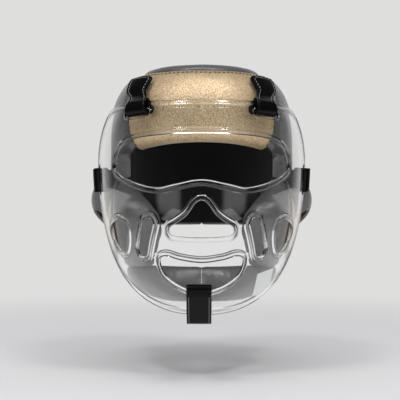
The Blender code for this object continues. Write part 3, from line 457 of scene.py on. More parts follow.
def brushed_cloth(name, dark, light, nap):
    """Matt cloth with a short nap: fine noise in its colour and height, over a slower mottle."""
    material, tree, shader = new_material(name, Roughness=0.95, Sheen_Weight=0.12, Sheen_Roughness=0.5)
    place = object_place(tree)
    pile = noise(tree, place, nap, 3.0, 0.7)
    mottle = arithmetic(tree, "MULTIPLY", noise(tree, place, nap / 30, 2.0), 0.3)
    share = arithmetic(tree, "MULTIPLY_ADD", pile, 0.7, mottle)
    paint(tree, shader, colour_mix(tree, share, dark, light))
    emboss(tree, shader, pile, 0.6, 0.4 * MM)
    return material


def fit(piece, body, slot, *nodes):
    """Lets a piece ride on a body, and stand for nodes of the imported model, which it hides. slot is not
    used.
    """
    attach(piece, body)
    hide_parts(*nodes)


def replace_mesh(piece):
    """Makes a piece's modifiers part of its mesh."""
    bpy.context.view_layer.update()
    finished = bpy.data.meshes.new_from_object(piece.evaluated_get(bpy.context.evaluated_depsgraph_get()))
    piece.modifiers.clear()
    piece.data = finished


def ear_spot(side, forward, up, height):
    """A point beside the ear's middle: so far forward of it round the head, so far above it, and a height
    over the head."""
    azimuth = side * (EAR_ANGLE - forward / (EAR_TURN + COVER_TOP))
    return lifted(head_point(azimuth, EAR_LEVEL + up), height)


def cut_ear_hole(piece, side):
    """Punches the round ear hole through a piece with a cylinder square to the head."""
    middle = np.array(0.0)
    ends = [Vector(ear_spot(side, middle, middle, np.array(height))) for height in PUNCH_REACH]
    turn = np.linspace(0, 2 * math.pi, PUNCH_SIDES, endpoint=False)
    axis = (ends[1] - ends[0]).normalized()
    across = axis.orthogonal().normalized()
    ring = np.outer(np.cos(turn), across) + np.outer(np.sin(turn), axis.cross(across))
    points = np.concatenate([np.array(end) + EAR_HOLE * ring for end in ends])
    index = np.arange(PUNCH_SIDES)
    onward = np.roll(index, -1)
    wall = np.stack([index, onward, onward + PUNCH_SIDES, index + PUNCH_SIDES], -1)
    caps = [index[None, ::-1], index[None] + PUNCH_SIDES]
    cutter = make_piece("ear_punch", points, [wall, *caps], LINING_CLOTH)
    boolean = piece.modifiers.new("ear_hole", "BOOLEAN")
    boolean.object = cutter
    boolean.solver = "MANIFOLD"
    replace_mesh(piece)
    bpy.data.objects.remove(cutter)


LINING_CLOTH = brushed_cloth("black lining", (0.003, 0.003, 0.0032, 1), (0.011, 0.011, 0.012, 1), 2600)

for part, outline in OUTLINES.items():
    if "back" in part:
        to_slit = constant(outline.hand * math.pi)
        outline = Outline(outline.front, to_slit, outline.low, outline.high, (1, 0, 0, 1))
    if part == "chin":
        to_cheeks = lambda azimuth: CHIN_TOP + SEAM / 2 * chin_seamed(azimuth)
        outline = Outline(outline.front, outline.rear, outline.low, to_cheeks, outline.sewn)
    middle = np.array([0.5])
    spans = [float(span[0]) for span in outline.distances(middle, middle)]
    length, height = sum(spans[:2]), sum(spans[2:])
    if part == "crown":
        length = height = 2 * outline.half_size * HEAD_HALF_WIDTH
    reach = [SEAM / 2 * sewn for sewn in outline.sewn]
    along, up = np.meshgrid(
        np.linspace(-reach[0] / length, 1 + reach[1] / length, LINING_COLUMNS),
        np.linspace(-reach[2] / height, 1 + reach[3] / height, LINING_ROWS),
    )
    base = outline.on_head(along, up)
    inner, outer = lifted(base, EASE), lifted(base, EASE + LINING)
    cloth = closed_shell(part + "_lining_cloth", inner, outer, LINING_CLOTH)
    steps_along, steps_up = np.diff(base, axis=1), np.diff(base, axis=0)
    cut_area = float(np.linalg.norm(np.cross(steps_along[:-1], steps_up[:, :-1]), axis=2).sum())
    if "side" in part:
        cut_ear_hole(cloth, outline.hand)
        cut_area -= math.pi * EAR_HOLE**2
    fit(cloth, "headgear", "lining", part + "_lining")


# Forehead pad
# The gold pad over the brow: grained metallic leather over moulded foam, rolled under along the eye opening
# and sewn to its neighbours along the sides with dark thread.

FOAM = 14 * MM
LEATHER = 1.5 * MM
LAYER_GAP = 0.4 * MM
FREE_ROLL = 13 * MM
SEAM_ROLL = 5 * MM
SEAM_DIP = 0.2
EDGE_FOAM = 0.07
PUCKER = 0.32 * MM
PUCKER_REACH = 3.2 * MM
DENT = 0.35 * MM
SIDE_STITCH_INSET = 2.4 * MM
TOP_STITCH_INSET = 3.2 * MM


def eased(share):
    """Half a cosine wave, which sets grid lines closer at a pad's edges, where it is rounded."""
    return (1 - np.cos(math.pi * share)) / 2


def uneased(share):
    return np.arccos(1 - 2 * np.clip(share, 0, 1)) / math.pi


def roll(distance, width, loss):
    """Share of the foam left at a distance from an edge: a quarter circle over the rounded width."""
    share = np.clip(distance / width, 0, 1)
    return 1 - loss * (1 - np.sqrt(1 - (1 - share) ** 2))


class Cover:
    """The leather over one pad. Each edge is seamed at 0 or free at 1, a free edge is rounded over a width,
    swell thickens the foam and crease presses lines into the leather."""

    def __init__(self, outline, finishes, free_roll=FREE_ROLL, swell=None, crease=None):
        self.outline, self.finishes, self.free_roll = outline, finishes, free_roll
        self.swell, self.crease = swell, crease

    def foam_top(self, s, t):
        """The head lifted by the lining and by the foam, which each edge's quarter circle thins."""
        along, up = eased(s), eased(t)
        azimuth, level = self.outline.spot(along, up)
        left = 1.0
        for distance, kind in zip(self.outline.distances(along, up), self.finishes):
            free = kind(azimuth, level) if callable(kind) else kind
            seamed = roll(distance, SEAM_ROLL, SEAM_DIP)
            left = left * mix(seamed, roll(distance, self.free_roll, 1 - EDGE_FOAM), free)
        thickness = FOAM * left
        if self.swell:
            thickness = thickness + self.swell(azimuth, level) * left
        return lifted(self.outline.on_head(along, up), EASE + LINING + LAYER_GAP + thickness)

    def relief(self, s, t):
        """Height of the leather's small unevenness: ripples along each edge that rise and die away beside it,
        slow dents everywhere, and the pressed lines."""
        along, up = eased(s), eased(t)
        azimuth, level = self.outline.spot(along, up)
        round_it = azimuth * HEAD_FRONT
        height = 0.5 * DENT * (np.sin(round_it / (11 * MM) + 1.3) * np.sin(level / (14 * MM) + 0.4))
        rising, falling = round_it + level, round_it - level
        height = height + 0.5 * DENT * np.sin(rising / (23 * MM)) * np.sin(falling / (17 * MM))
        edge_fade = 1.0
        for edge, distance in enumerate(self.outline.distances(along, up)):
            run = level if edge < 2 else round_it
            near = distance / PUCKER_REACH * np.exp(1 - distance / PUCKER_REACH)
            wave = np.sin(run / (1.15 * MM) + 2 * np.sin(run / (7 * MM))) + 0.6 * np.sin(run / (2.3 * MM))
            height = height + 0.5 * PUCKER * near * wave
            edge_fade = edge_fade * np.clip(distance / PUCKER_REACH, 0, 1)
        height = height * edge_fade**0.5
        if self.crease:
            height = height - self.crease(azimuth, level)
        return height

    def surface(self, s, t, height=0.0):
        """Points of the leather's outer face, and their outward directions, from the slopes of the foam."""
        step = 0.002
        along = self.foam_top(np.minimum(s + step, 1), t) - self.foam_top(np.maximum(s - step, 0), t)
        up = self.foam_top(s, np.minimum(t + step, 1)) - self.foam_top(s, np.maximum(t - step, 0))
        normal = unit(np.cross(along, up)) * self.outline.hand
        rise = LAYER_GAP + LEATHER + self.relief(s, t) + height
        return self.foam_top(s, t) + normal * rise[..., None], normal

    def build(self, name, columns, rows, material):
        """The pad as a closed cushion: its leather face, and an under side that lies on the lining."""
        s, t = np.meshgrid(np.linspace(0, 1, columns), np.linspace(0, 1, rows))
        along, up = eased(s), eased(t)
        under = lifted(self.outline.on_head(along, up), EASE + LINING + 0.1 * MM + 0 * along)
        edge = np.exp(-np.minimum.reduce(self.outline.distances(along, up)) / (4 * MM))
        return closed_shell(name, under, self.surface(s, t)[0], material, {"edge": edge})

    def line(self, edge, inset, start=0.0, end=1.0, count=400):
        """Points and outward directions on the leather along one edge (0 front, 1 rear, 2 low, 3 high), at an
        inset from it."""
        way = np.linspace(start, end, count)
        share = np.full(count, 0.5)
        for _ in range(4):
            spans = self.outline.distances(*((share, way) if edge < 2 else (way, share)))
            width = spans[0] + spans[1] if edge < 2 else spans[2] + spans[3]
            share = inset / width if edge in (0, 2) else 1 - inset / width
        return self.surface(*(uneased(part) for part in ((share, way) if edge < 2 else (way, share))))


def ramp(tree, value, start, end):
    """A number from 0 to 1 as a value goes from a start to an end, smoothly."""
    inputs = {"Value": value, "From Min": start, "From Max": end}
    return node(tree, "ShaderNodeMapRange", inputs, interpolation_type="SMOOTHSTEP").outputs["Result"]


def grain_group():
    """Node group for leather: a net of fine creases round small pebbles, pores between them, and a slow
    change of tone. It puts out a height, a tone and the pores."""
    group = bpy.data.node_groups.new("leather_grain", "ShaderNodeTree")
    for label, kind in (("Vector", "NodeSocketVector"), ("Pebbles per metre", "NodeSocketFloat")):
        group.interface.new_socket(label, in_out="INPUT", socket_type=kind)
    for label in ("Height", "Tone", "Pores"):
        group.interface.new_socket(label, in_out="OUTPUT", socket_type="NodeSocketFloat")
    source = node(group, "NodeGroupInput")
    place, scale = source.outputs[0], source.outputs[1]
    warp = node(group, "ShaderNodeTexNoise", {"Vector": place, "Scale": 240.0, "Detail": 2.0})
    bend = {0: warp.outputs["Color"], "Scale": 1.4 * MM}
    shift = node(group, "ShaderNodeVectorMath", bend, operation="SCALE")
    bent = node(group, "ShaderNodeVectorMath", {0: place, 1: shift.outputs[0]}, operation="ADD").outputs[0]
    net = node(group, "ShaderNodeTexVoronoi", {"Vector": bent, "Scale": scale}, feature="DISTANCE_TO_EDGE")
    pebble = arithmetic(group, "MULTIPLY", ramp(group, net.outputs["Distance"], 0.0, 0.28), 0.6)
    pores = noise(group, bent, arithmetic(group, "MULTIPLY", scale, 3.1), 3.0, 0.65)
    height = arithmetic(group, "MULTIPLY_ADD", pores, 0.5, pebble)
    tone = noise(group, place, 26.0, 4.0, 0.6)
    node(group, "NodeGroupOutput", {"Height": height, "Tone": tone, "Pores": pores})
    return group


LEATHER_GRAIN = grain_group()


def grained_leather(name, dark, light, pebbles, depth, rough, speckle, spread=0.2, **sockets):
    """Leather from the grain group: its tone and pores run from the dark to the light colour, its edges are
    rubbed darker, and pores are rougher than the pebbles between them. A small spread makes strong
    speckles."""
    material, tree, shader = new_material(name, **sockets)
    inputs = {"Vector": object_place(tree), "Pebbles per metre": pebbles}
    grain = node(tree, "ShaderNodeGroup", inputs, node_tree=LEATHER_GRAIN)
    tone, pores = grain.outputs["Tone"], grain.outputs["Pores"]
    share = arithmetic(tree, "MULTIPLY_ADD", pores, speckle, arithmetic(tree, "MULTIPLY", tone, 1 - speckle))
    limits = {"Value": share, "From Min": 0.5 - spread, "From Max": 0.5 + spread}
    flecks = node(tree, "ShaderNodeMapRange", limits).outputs["Result"]
    edge = node(tree, "ShaderNodeAttribute", attribute_name="edge").outputs["Fac"]
    worn = arithmetic(tree, "MULTIPLY", edge, arithmetic(tree, "MULTIPLY_ADD", tone, 0.8, 0.1))
    rubbed = tuple(0.72 * value for value in dark[:3]) + (1,)
    paint(tree, shader, colour_mix(tree, worn, colour_mix(tree, flecks, dark, light), rubbed))
    uneven = arithmetic(tree, "MULTIPLY_ADD", pores, 0.24, rough - 0.12)
    tree.links.new(uneven, shader.inputs["Roughness"])
    emboss(tree, shader, grain.outputs["Height"], 1.0, depth)
    return material


def thread_material(name, dark):
    """Waxed thread: fine fibres across it in its colour and height."""
    material, tree, shader = new_material(name, Roughness=0.5)
    fibre = noise(tree, object_place(tree), 5200.0, 2.0)
    pale = tuple(min(1.0, 1.5 * value + 0.01) for value in dark)
    paint(tree, shader, colour_mix(tree, fibre, (*dark, 1), (*pale, 1)))
    emboss(tree, shader, fibre, 0.6, 0.1 * MM)
    return material


def stitch_row(points, normals, pitch, length, radius):
    """Points and faces of stitches along a path: each is a six-sided rod, thin and sunk at both ends, and
    laid along the path at an even pitch."""
    steps = np.linalg.norm(np.diff(points, axis=0), axis=1)
    run = np.concatenate([[0], np.cumsum(steps)])
    spots = np.arange(pitch / 2, run[-1] - pitch / 4, pitch)

    def at(field, offset=0.0):
        return np.stack([np.interp(spots + offset, run, column) for column in field.T], 1)

    forward = unit(at(points, 0.5 * MM) - at(points, -0.5 * MM))
    side = unit(np.cross(at(normals), forward))
    out = np.cross(forward, side)
    turn = np.linspace(0, 2 * math.pi, 6, endpoint=False)
    reach = np.array([-0.5, -0.4, -0.15, 0.15, 0.4, 0.5]) * length
    girth = np.array([0.35, 0.85, 1, 1, 0.85, 0.35]) * radius
    sunk = np.array([-0.9, -0.05, 0.35, 0.35, -0.05, -0.9]) * radius
    x = np.repeat(reach, 6)
    y = np.outer(girth, np.cos(turn)).ravel()
    z = (np.outer(girth, np.sin(turn)) + sunk[:, None]).ravel()
    rods = at(points)[:, None]
    for way, offset in ((forward, x), (side, y), (out, z)):
        rods = rods + way[:, None] * offset[:, None]
    ring = np.arange(36).reshape(6, 6)
    round_it = np.concatenate([ring, ring[:, :1]], 1)
    offsets = (np.arange(len(spots)) * 36)[:, None, None]
    sides = (grid_faces(round_it)[None] + offsets).reshape(-1, 4)
    ends = (np.stack([ring[0, ::-1], ring[-1]])[None] + offsets).reshape(-1, 6)
    return rods.reshape(-1, 3), [sides, ends]


def sew(name, lines, thread, pitch=4.1 * MM, length=2.7 * MM, radius=0.42 * MM):
    """One piece of stitching along several lines."""
    points, quads, caps, start = [], [], [], 0
    for line in lines:
        rods, (sides, ends) = stitch_row(*line, pitch, length, radius)
        points.append(rods)
        quads.append(sides + start)
        caps.append(ends + start)
        start += len(rods)
    return make_piece(name, np.concatenate(points), [np.concatenate(quads), np.concatenate(caps)], thread)


GOLD_DARK = (0.31, 0.21, 0.105, 1)
GOLD_LIGHT = (0.92, 0.71, 0.46, 1)
GOLD_LEATHER = grained_leather(
    "gold leather", GOLD_DARK, GOLD_LIGHT, 380, 0.22 * MM, 0.36, 0.9, spread=0.1, Metallic=0.4
)
DARK_THREAD = thread_material("dark thread", (0.018, 0.014, 0.01))


def pad_piece(part, cover, columns, rows, material, slot):
    """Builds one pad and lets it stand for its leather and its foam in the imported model."""
    pad = cover.build(part + "_pad", columns, rows, material)
    if "side" in part:
        cut_ear_hole(pad, cover.outline.hand)
    fit(pad, "headgear", slot, part + "_cover", part + "_foam")


forehead = Cover(OUTLINES["forehead"], (0, 0, 1, 0))
pad_piece("forehead", forehead, 150, 80, GOLD_LEATHER, "gold_leather")
panel_lines = [forehead.line(edge, SIDE_STITCH_INSET, 0.04, 0.97) for edge in (0, 1)]
panel_lines.append(forehead.line(3, TOP_STITCH_INSET, 0.02, 0.98))
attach(sew("forehead_stitching", panel_lines, DARK_THREAD, 4.6 * MM, 3.2 * MM, 0.6 * MM), "headgear")


# Grey pads
# The sides, cheeks, chin, back flaps and crown: gunmetal-grey leather over moulded foam, rolled at free
# edges, pulled into the seams, and sewn with grey thread. A pale row runs down the chin's middle seam.

GREY_DARK = (0.088, 0.086, 0.086, 1)
GREY_LIGHT = (0.15, 0.147, 0.147, 1)
GREY_LEATHER = grained_leather(
    "grey leather", GREY_DARK, GREY_LIGHT, 700, 0.1 * MM, 0.27, 0.35, Specular_IOR_Level=0.8
)
GREY_THREAD = thread_material("grey thread", (0.16, 0.155, 0.155))
PALE_THREAD = thread_material("pale thread", (0.62, 0.62, 0.64))
CHEEK_SWELL = 6 * MM
CHEEK_BALL = 7 * MM
CHEEK_ROLL = 24 * MM
CHIN_ROLL = 15 * MM
CHIN_SWELL = 6 * MM
CHIN_SEAM_DEPTH = 1.4 * MM
CHIN_SEAM_WIDTH = 2.6 * MM
GREY_STITCH_INSET = 3.4 * MM


def bell(azimuth, level, at, width, height):
    """A bulge of 1 that dies away from a place on the head, by the exponential of its squared distances."""
    return np.exp(-(((azimuth - at[0]) / width) ** 2) - ((level - at[1]) / height) ** 2)


def cheek_swell(azimuth, level):
    """Two bulges, one before the mouth corner and one before the ear, and a ball on the cheek bone."""
    azimuth = np.abs(azimuth)
    front = bell(azimuth, level, (50 * DEG, -56 * MM), 20 * DEG, 24 * MM)
    rear = bell(azimuth, level, (82 * DEG, -60 * MM), 12 * DEG, 26 * MM)
    ball = bell(azimuth, level, (49 * DEG, -38 * MM), 13 * DEG, 14 * MM)
    return CHEEK_SWELL * np.maximum(front, rear) + CHEEK_BALL * ball


def chin_swell(azimuth, level):
    """A long bulge on each side of the chin's middle seam."""
    return CHIN_SWELL * bell(np.abs(azimuth), level, (19 * DEG, -112 * MM), 13 * DEG, 9 * MM)


def chin_seam(azimuth, level):
    """The seam down the middle of the chin pad: a bell-shaped groove."""
    return CHIN_SEAM_DEPTH * np.exp(-((azimuth * HEAD_FRONT / CHIN_SEAM_WIDTH) ** 2))


def eye_edge(azimuth, level):
    """How free a side pad's front edge is: below the brow, along the eye opening."""
    return 1 - smooth_step(level, BROW - 3 * BROW_ARCH, BROW - BROW_ARCH)


def behind_cheek(azimuth, level):
    """How free a side pad's lower edge is: behind the cheek pad."""
    return smooth_step(np.abs(azimuth), SIDE_NOTCH_ANGLE, CHEEK_JAW_ANGLE)


def behind_chin(azimuth, level):
    """How free a cheek pad's lower edge is: behind the end of the chin pad."""
    return smooth_step(np.abs(azimuth), CHIN_END_ANGLE - SEAM_FADE, CHIN_END_ANGLE)


def under_mouth(azimuth, level):
    """How free the chin pad's upper edge is: between the cheek pads."""
    return 1 - chin_seamed(azimuth)


COVERS = {}
for part, finishes, free_roll, swell, crease, columns, rows in (
    ("left_side", (eye_edge, 0, behind_cheek, 0), FREE_ROLL, None, None, 130, 130),
    ("right_side", (eye_edge, 0, behind_cheek, 0), FREE_ROLL, None, None, 130, 130),
    ("left_cheek", (1, 1, behind_chin, 0.3), CHEEK_ROLL, cheek_swell, None, 110, 90),
    ("right_cheek", (1, 1, behind_chin, 0.3), CHEEK_ROLL, cheek_swell, None, 110, 90),
    ("chin", (1, 1, 1, under_mouth), CHIN_ROLL, chin_swell, chin_seam, 181, 70),
    ("left_back", (0, 1, 1, 0), FREE_ROLL, None, None, 90, 120),
    ("right_back", (0, 1, 1, 0), FREE_ROLL, None, None, 90, 120),
    ("crown", (0, 0, 0, 0), FREE_ROLL, None, None, 90, 90),
):
    COVERS[part] = Cover(OUTLINES[part], finishes, free_roll, swell, crease)
    pad_piece(part, COVERS[part], columns, rows, GREY_LEATHER, "grey_leather")

grey_lines = []
for side in ("left_", "right_"):
    for part, edge, start, end in (
        ("side", 0, 0.36, 0.97),
        ("side", 1, 0.05, 0.97),
        ("side", 3, 0.02, 0.98),
        ("cheek", 3, 0.08, 0.96),
        ("cheek", 2, 0.1, 0.5),
        ("back", 0, 0.05, 0.97),
        ("back", 3, 0.02, 0.98),
    ):
        grey_lines.append(COVERS[side + part].line(edge, GREY_STITCH_INSET, start, end))
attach(sew("grey_stitching", grey_lines, GREY_THREAD), "headgear")

up_chin = np.linspace(0.1, 0.99, 200)
middle_seam = COVERS["chin"].surface(0 * up_chin + 0.5, uneased(up_chin), 0.2 * MM)
dots = sew("chin_seam_stitching", [middle_seam], PALE_THREAD, 2.6 * MM, 1.5 * MM, 0.5 * MM)
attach(dots, "headgear")


# Ear cups
# A padded leather dome over each ear, moulded hollow and sewn round the ear hole, with a round vent low in
# its front. Rolled leather binds the foot of the dome and the rim of the vent.

DOME_RADIUS = 32 * MM
DOME_RISE = 32 * MM
DOME_WALL = 5 * MM
DOME_STEP = 0.05  # between points of a circle, as a share of its radius
DOME_VENT = 9 * MM
VENT_PLACE = 0.5, -0.5  # in shares of the dome's radius
VENT_STEP = 0.16
REST_GAP = 0.7 * MM
FOOT_INSETS = 0.004, 0.012, 0.026, 0.05, 0.085, 0.13  # shares of the radius
VENT_INSETS = 0.025, 0.06, 0.11, 0.17
FOOT_RIPPLE = 0.3 * MM
VENT_BINDING = 2.9 * MM
FOOT_PIPING = 1.7 * MM
PIPING_RADIUS = 1.01 * DOME_RADIUS
PIPING_RISE = 1.2 * MM
TUBE_SIDES = 12


def dome_height(across, along, rise):
    """Height of a dome over its foot, from flat and round on top to upright at the rim."""
    reach = np.clip(np.hypot(across, along), 0, 1)
    return rise * (1 - reach**2.2) ** 0.7


def inside(points, loop):
    """Which points lie inside a closed outline: a line to the right crosses it an odd number of times."""
    x, y = points[:, :1], points[:, 1:]
    x0, y0 = loop.T
    x1, y1 = np.roll(loop, -1, 0).T
    crosses = (y0 > y) != (y1 > y)
    reach = x0 + (y - y0) * (x1 - x0) / np.where(y1 == y0, 1, y1 - y0)
    return np.sum(crosses & (x < reach), 1) % 2 == 1


def gap_to(points, loop):
    """Distance of points from a closed outline, by the nearest place on each of its straight runs."""
    start, run = loop, np.roll(loop, -1, 0) - loop
    best = np.full(len(points), np.inf)
    for low in range(0, len(points), 4000):
        offset = points[low : low + 4000, None] - start[None]
        share = np.clip(np.sum(offset * run, 2) / np.sum(run * run, 1), 0, 1)
        best[low : low + 4000] = np.linalg.norm(offset - share[..., None] * run, axis=2).min(1)
    return best


def even_loop(loop, spacing):
    """A closed outline laid out again at an even spacing."""
    closed = np.concatenate([loop, loop[:1]])
    run = np.concatenate([[0], np.cumsum(np.linalg.norm(np.diff(closed, axis=0), axis=1))])
    spots = np.linspace(0, run[-1], max(12, round(run[-1] / spacing)), endpoint=False)
    return np.stack([np.interp(spots, run, closed[:, axis]) for axis in range(2)], 1)


def grown(loop, distance):
    """An outline moved outwards by a distance, square to its run."""
    ahead = np.roll(loop, -1, 0) - np.roll(loop, 1, 0)
    area = np.sum(loop[:, 0] * np.roll(loop[:, 1], -1) - loop[:, 1] * np.roll(loop[:, 0], -1))
    return loop + unit(np.stack([ahead[:, 1], -ahead[:, 0]], 1)) * np.sign(area) * distance


def filled_sheet(edge, holes, insets, spacing):
    """A flat sheet filled with triangles between an outline and its holes: rings of points at insets beside
    each outline, and a staggered grid further off. Gives the points, the triangles, and each point's gap to
    each outline."""
    loops = [edge] + holes
    rings = []
    for index, (loop, steps) in enumerate(zip(loops, insets)):
        for step in steps:
            ring = grown(loop, -step if index == 0 else step)
            keep = inside(ring, edge)
            for other, hole in enumerate(loops):
                if other:
                    keep &= ~inside(ring, hole)
                keep &= gap_to(ring, hole) > step * (0.9 if other == index else 1.05)
            rings.append(ring[keep])
    low, high = edge.min(0), edge.max(0)
    columns, rows = np.arange(low[0], high[0], spacing), np.arange(low[1], high[1], 0.87 * spacing)
    grid = np.stack(np.meshgrid(columns - columns.mean(), rows), -1)
    grid[1::2, :, 0] += spacing / 2
    grid = grid.reshape(-1, 2)
    keep = inside(grid, edge)
    for index, (loop, steps) in enumerate(zip(loops, insets)):
        if index:
            keep &= ~inside(grid, loop)
        keep &= gap_to(grid, loop) > steps[-1] + 0.55 * spacing
    points = np.concatenate(loops + rings + [grid[keep]])
    links, start = [], 0
    for loop in loops:
        links += [(start + step, start + (step + 1) % len(loop)) for step in range(len(loop))]
        start += len(loop)
    found, _, faces, _, _, _ = delaunay_2d_cdt([Vector(point) for point in points], links, [], 0, 1e-8)
    sheet = np.array([tuple(point) for point in found])
    faces = np.array([face for face in faces if len(face) == 3])
    middles = sheet[faces].mean(1)
    kept = inside(middles, edge)
    for loop in holes:
        kept &= ~inside(middles, loop)
    faces = faces[kept]
    used, faces = np.unique(faces, return_inverse=True)
    return sheet[used], faces.reshape(-1, 3), np.stack([gap_to(sheet[used], loop) for loop in loops])


def two_faced(name, outer, inner, triangles, rim, material, attributes=None):
    """A closed piece from one sheet's triangles placed twice, outside and inside. Both share the points of
    the rim."""
    below = np.arange(len(outer))
    below[~rim] = len(outer) + np.arange(np.sum(~rim))
    points = np.concatenate([outer, inner[~rim]])
    faces = [np.concatenate([triangles, below[triangles][:, ::-1]])]
    spread = {label: np.concatenate([values, values[~rim]]) for label, values in (attributes or {}).items()}
    return make_piece(name, points, faces, material, spread)


def tube(name, path, radius, material, flat, normals):
    """A closed round tube along a closed path, pressed flat along its normals by a share."""
    ahead = unit(np.roll(path, -1, 0) - np.roll(path, 1, 0))
    out = unit(normals - ahead * np.sum(normals * ahead, 1, keepdims=True))
    side = np.cross(ahead, out)
    turn = np.linspace(0, 2 * math.pi, TUBE_SIDES, endpoint=False)[None, :, None]
    points = path[:, None] + radius * (np.cos(turn) * side[:, None] + flat * np.sin(turn) * out[:, None])
    index = np.arange(len(path) * TUBE_SIDES).reshape(len(path), TUBE_SIDES)
    rubbed = {"edge": np.full(index.size, 0.4)}
    index = np.concatenate([index, index[:1]])
    index = np.concatenate([index, index[:, :1]], 1)
    return make_piece(name, points, [grid_faces(index)], material, rubbed)


ring_turn = np.linspace(0, 2 * math.pi, 120, endpoint=False)
circle = np.stack([np.cos(ring_turn), np.sin(ring_turn)], 1)
vent = VENT_PLACE + DOME_VENT / DOME_RADIUS * even_loop(circle, VENT_STEP)
dome_sheet, dome_faces, dome_gaps = filled_sheet(
    even_loop(circle, DOME_STEP), [vent], [FOOT_INSETS, VENT_INSETS], 1.2 * DOME_STEP
)
across, along = dome_sheet.T
foot_gap, nearest = dome_gaps[0], np.minimum(*dome_gaps)
bead = np.sqrt(1 - (1 - np.clip(nearest * DOME_RADIUS / (DOME_WALL / 2), 0, 1)) ** 2)
ripple = FOOT_RIPPLE * np.sin(9 * np.arctan2(along, across))
ripple = ripple * np.exp(-foot_gap / 0.12) * np.clip(foot_gap / 0.05, 0, 1)
for side, hand in (("left", 1), ("right", -1)):
    faces_of_dome = []
    for wall in (1 - bead, 1 + bead):
        radius = DOME_RADIUS - DOME_WALL + wall / 2 * DOME_WALL
        rise = dome_height(across, along, DOME_RISE - DOME_WALL + wall / 2 * DOME_WALL)
        height = COVER_TOP + REST_GAP + (rise + ripple * (wall > 1))
        faces_of_dome.append(ear_spot(hand, across * radius, along * radius, height))
    dome = two_faced(
        side + "_ear_cup",
        faces_of_dome[1],
        faces_of_dome[0],
        dome_faces,
        nearest < 1e-6,
        GREY_LEATHER,
        {"edge": np.exp(-nearest * DOME_RADIUS / (4 * MM))},
    )
    fit(dome, "headgear", "grey_leather", side + "_ear_dome")

    lip_across, lip_along = vent.T
    lip_height = COVER_TOP + REST_GAP + dome_height(lip_across, lip_along, DOME_RISE - DOME_WALL / 2)
    lip_radius = DOME_RADIUS - DOME_WALL / 2
    lip_path = ear_spot(hand, lip_across * lip_radius, lip_along * lip_radius, lip_height)
    higher = ear_spot(hand, 0.9 * lip_across * lip_radius, 0.9 * lip_along * lip_radius, lip_height + 4 * MM)
    lip_out = unit(higher - lip_path)
    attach(tube(side + "_vent_binding", lip_path, VENT_BINDING, GREY_LEATHER, 0.8, lip_out), "headgear")
    foot = PIPING_RADIUS * even_loop(circle, DOME_STEP)
    foot_path = ear_spot(hand, foot[:, 0], foot[:, 1], np.full(len(foot), COVER_TOP + PIPING_RISE))
    foot_out = head_normal(foot_path)
    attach(tube(side + "_ear_piping", foot_path, FOOT_PIPING, GREY_LEATHER, 0.9, foot_out), "headgear")


# Jaw panels, chin tab and tag
# Trim sewn on last: a gold leather panel on the rear of each cheek, a black leather tongue under the chin
# that the shield's chin strap sticks to, and a blank white woven tag before the chin pad at the left jaw.

JAW_PANEL = 1.2 * MM
JAW_PANEL_LIFT = 0.4 * MM
JAW_PANEL_WIDTH = 34 * MM
JAW_PANEL_HEIGHT = 52 * MM
JAW_PANEL_ALONG = 0.50, 0.84  # of the cheek pad's grid, from its front
JAW_PANEL_UP = 0.26, 0.80  # of the cheek pad's grid, from its lower edge
TRIM_STEP = 1.5 * MM
STRAP = 2.2 * MM
CHIN_STRAP_WIDTH = 24 * MM
CHIN_STRAP_SHIFT = -2.5 * MM  # slack on its bar lets it sit off the middle
TAG = 0.7 * MM
TAG_WIDTH = 20 * MM
TAG_LENGTH = 24 * MM
TAG_ANGLE = 46 * DEG
TAG_DROP = 9 * MM  # from the top of the chin pad to the tag's middle
TAG_STANDOFF = 1.2 * MM
TAG_TURN = 36 * DEG
TAG_LEAN = 0.4
TAG_SLANT = 5 * MM
TAG_BULGE = 0.8 * MM
TAG_STEP = 1 * MM


def grid_normal(grid):
    """Directions square to a grid of points, from the differences of neighbours."""
    return unit(np.cross(np.gradient(grid, axis=1), np.gradient(grid, axis=0)))


def cushion(name, middle, half, material, attributes=None):
    """A closed piece from a grid of middle points: half its thickness lies on either side, and the two sides
    share the rim."""
    rows, columns = middle.shape[:2]
    offset = grid_normal(middle) * half[..., None]
    index = np.arange(rows * columns).reshape(rows, columns)
    below = index.copy()
    below[1:-1, 1:-1] = rows * columns + np.arange((rows - 2) * (columns - 2)).reshape(rows - 2, columns - 2)
    points = np.concatenate([(middle + offset).reshape(-1, 3), (middle - offset)[1:-1, 1:-1].reshape(-1, 3)])
    faces = [np.concatenate([grid_faces(index), grid_faces(below)[:, ::-1]])]
    spread = {
        label: np.concatenate([values.ravel(), values[1:-1, 1:-1].ravel()])
        for label, values in (attributes or {}).items()
    }
    return make_piece(name, points, faces, material, spread)


def edge_round(distance, thickness):
    """Half thickness at a distance from an edge: half a circle at the edge, and even further in."""
    share = np.clip(distance / (thickness / 2), 0, 1)
    return thickness / 2 * np.sqrt(1 - (1 - share) ** 2)


def border_steps(length, spacing):
    """Places from 0 to a length: close together at both ends, where an edge is rounded, and even between."""
    close = np.array([0, 0.08, 0.25, 0.5, 0.9, 1.5, 2.3]) * MM
    inner = np.linspace(3.2 * MM, length - 3.2 * MM, max(2, round((length - 6.4 * MM) / spacing)))
    return np.concatenate([close, inner, length - close[::-1]])


def border_gap(width, length, spacing):
    """Distance from the nearest edge of a rectangle, for a grid with border steps across and along it."""
    across, along = np.meshgrid(border_steps(width, spacing), border_steps(length, spacing))
    return np.minimum(np.minimum(across, width - across), np.minimum(along, length - along))


def level_grid(low, high, spacing):
    """A level grid half-way up a box, with border steps across and along it."""
    columns, rows = (border_steps(high[axis] - low[axis], spacing) for axis in (0, 1))
    x, y = np.meshgrid(low[0] + columns, low[1] + rows)
    return np.stack([x, y, 0 * x + (low[2] + high[2]) / 2], -1)


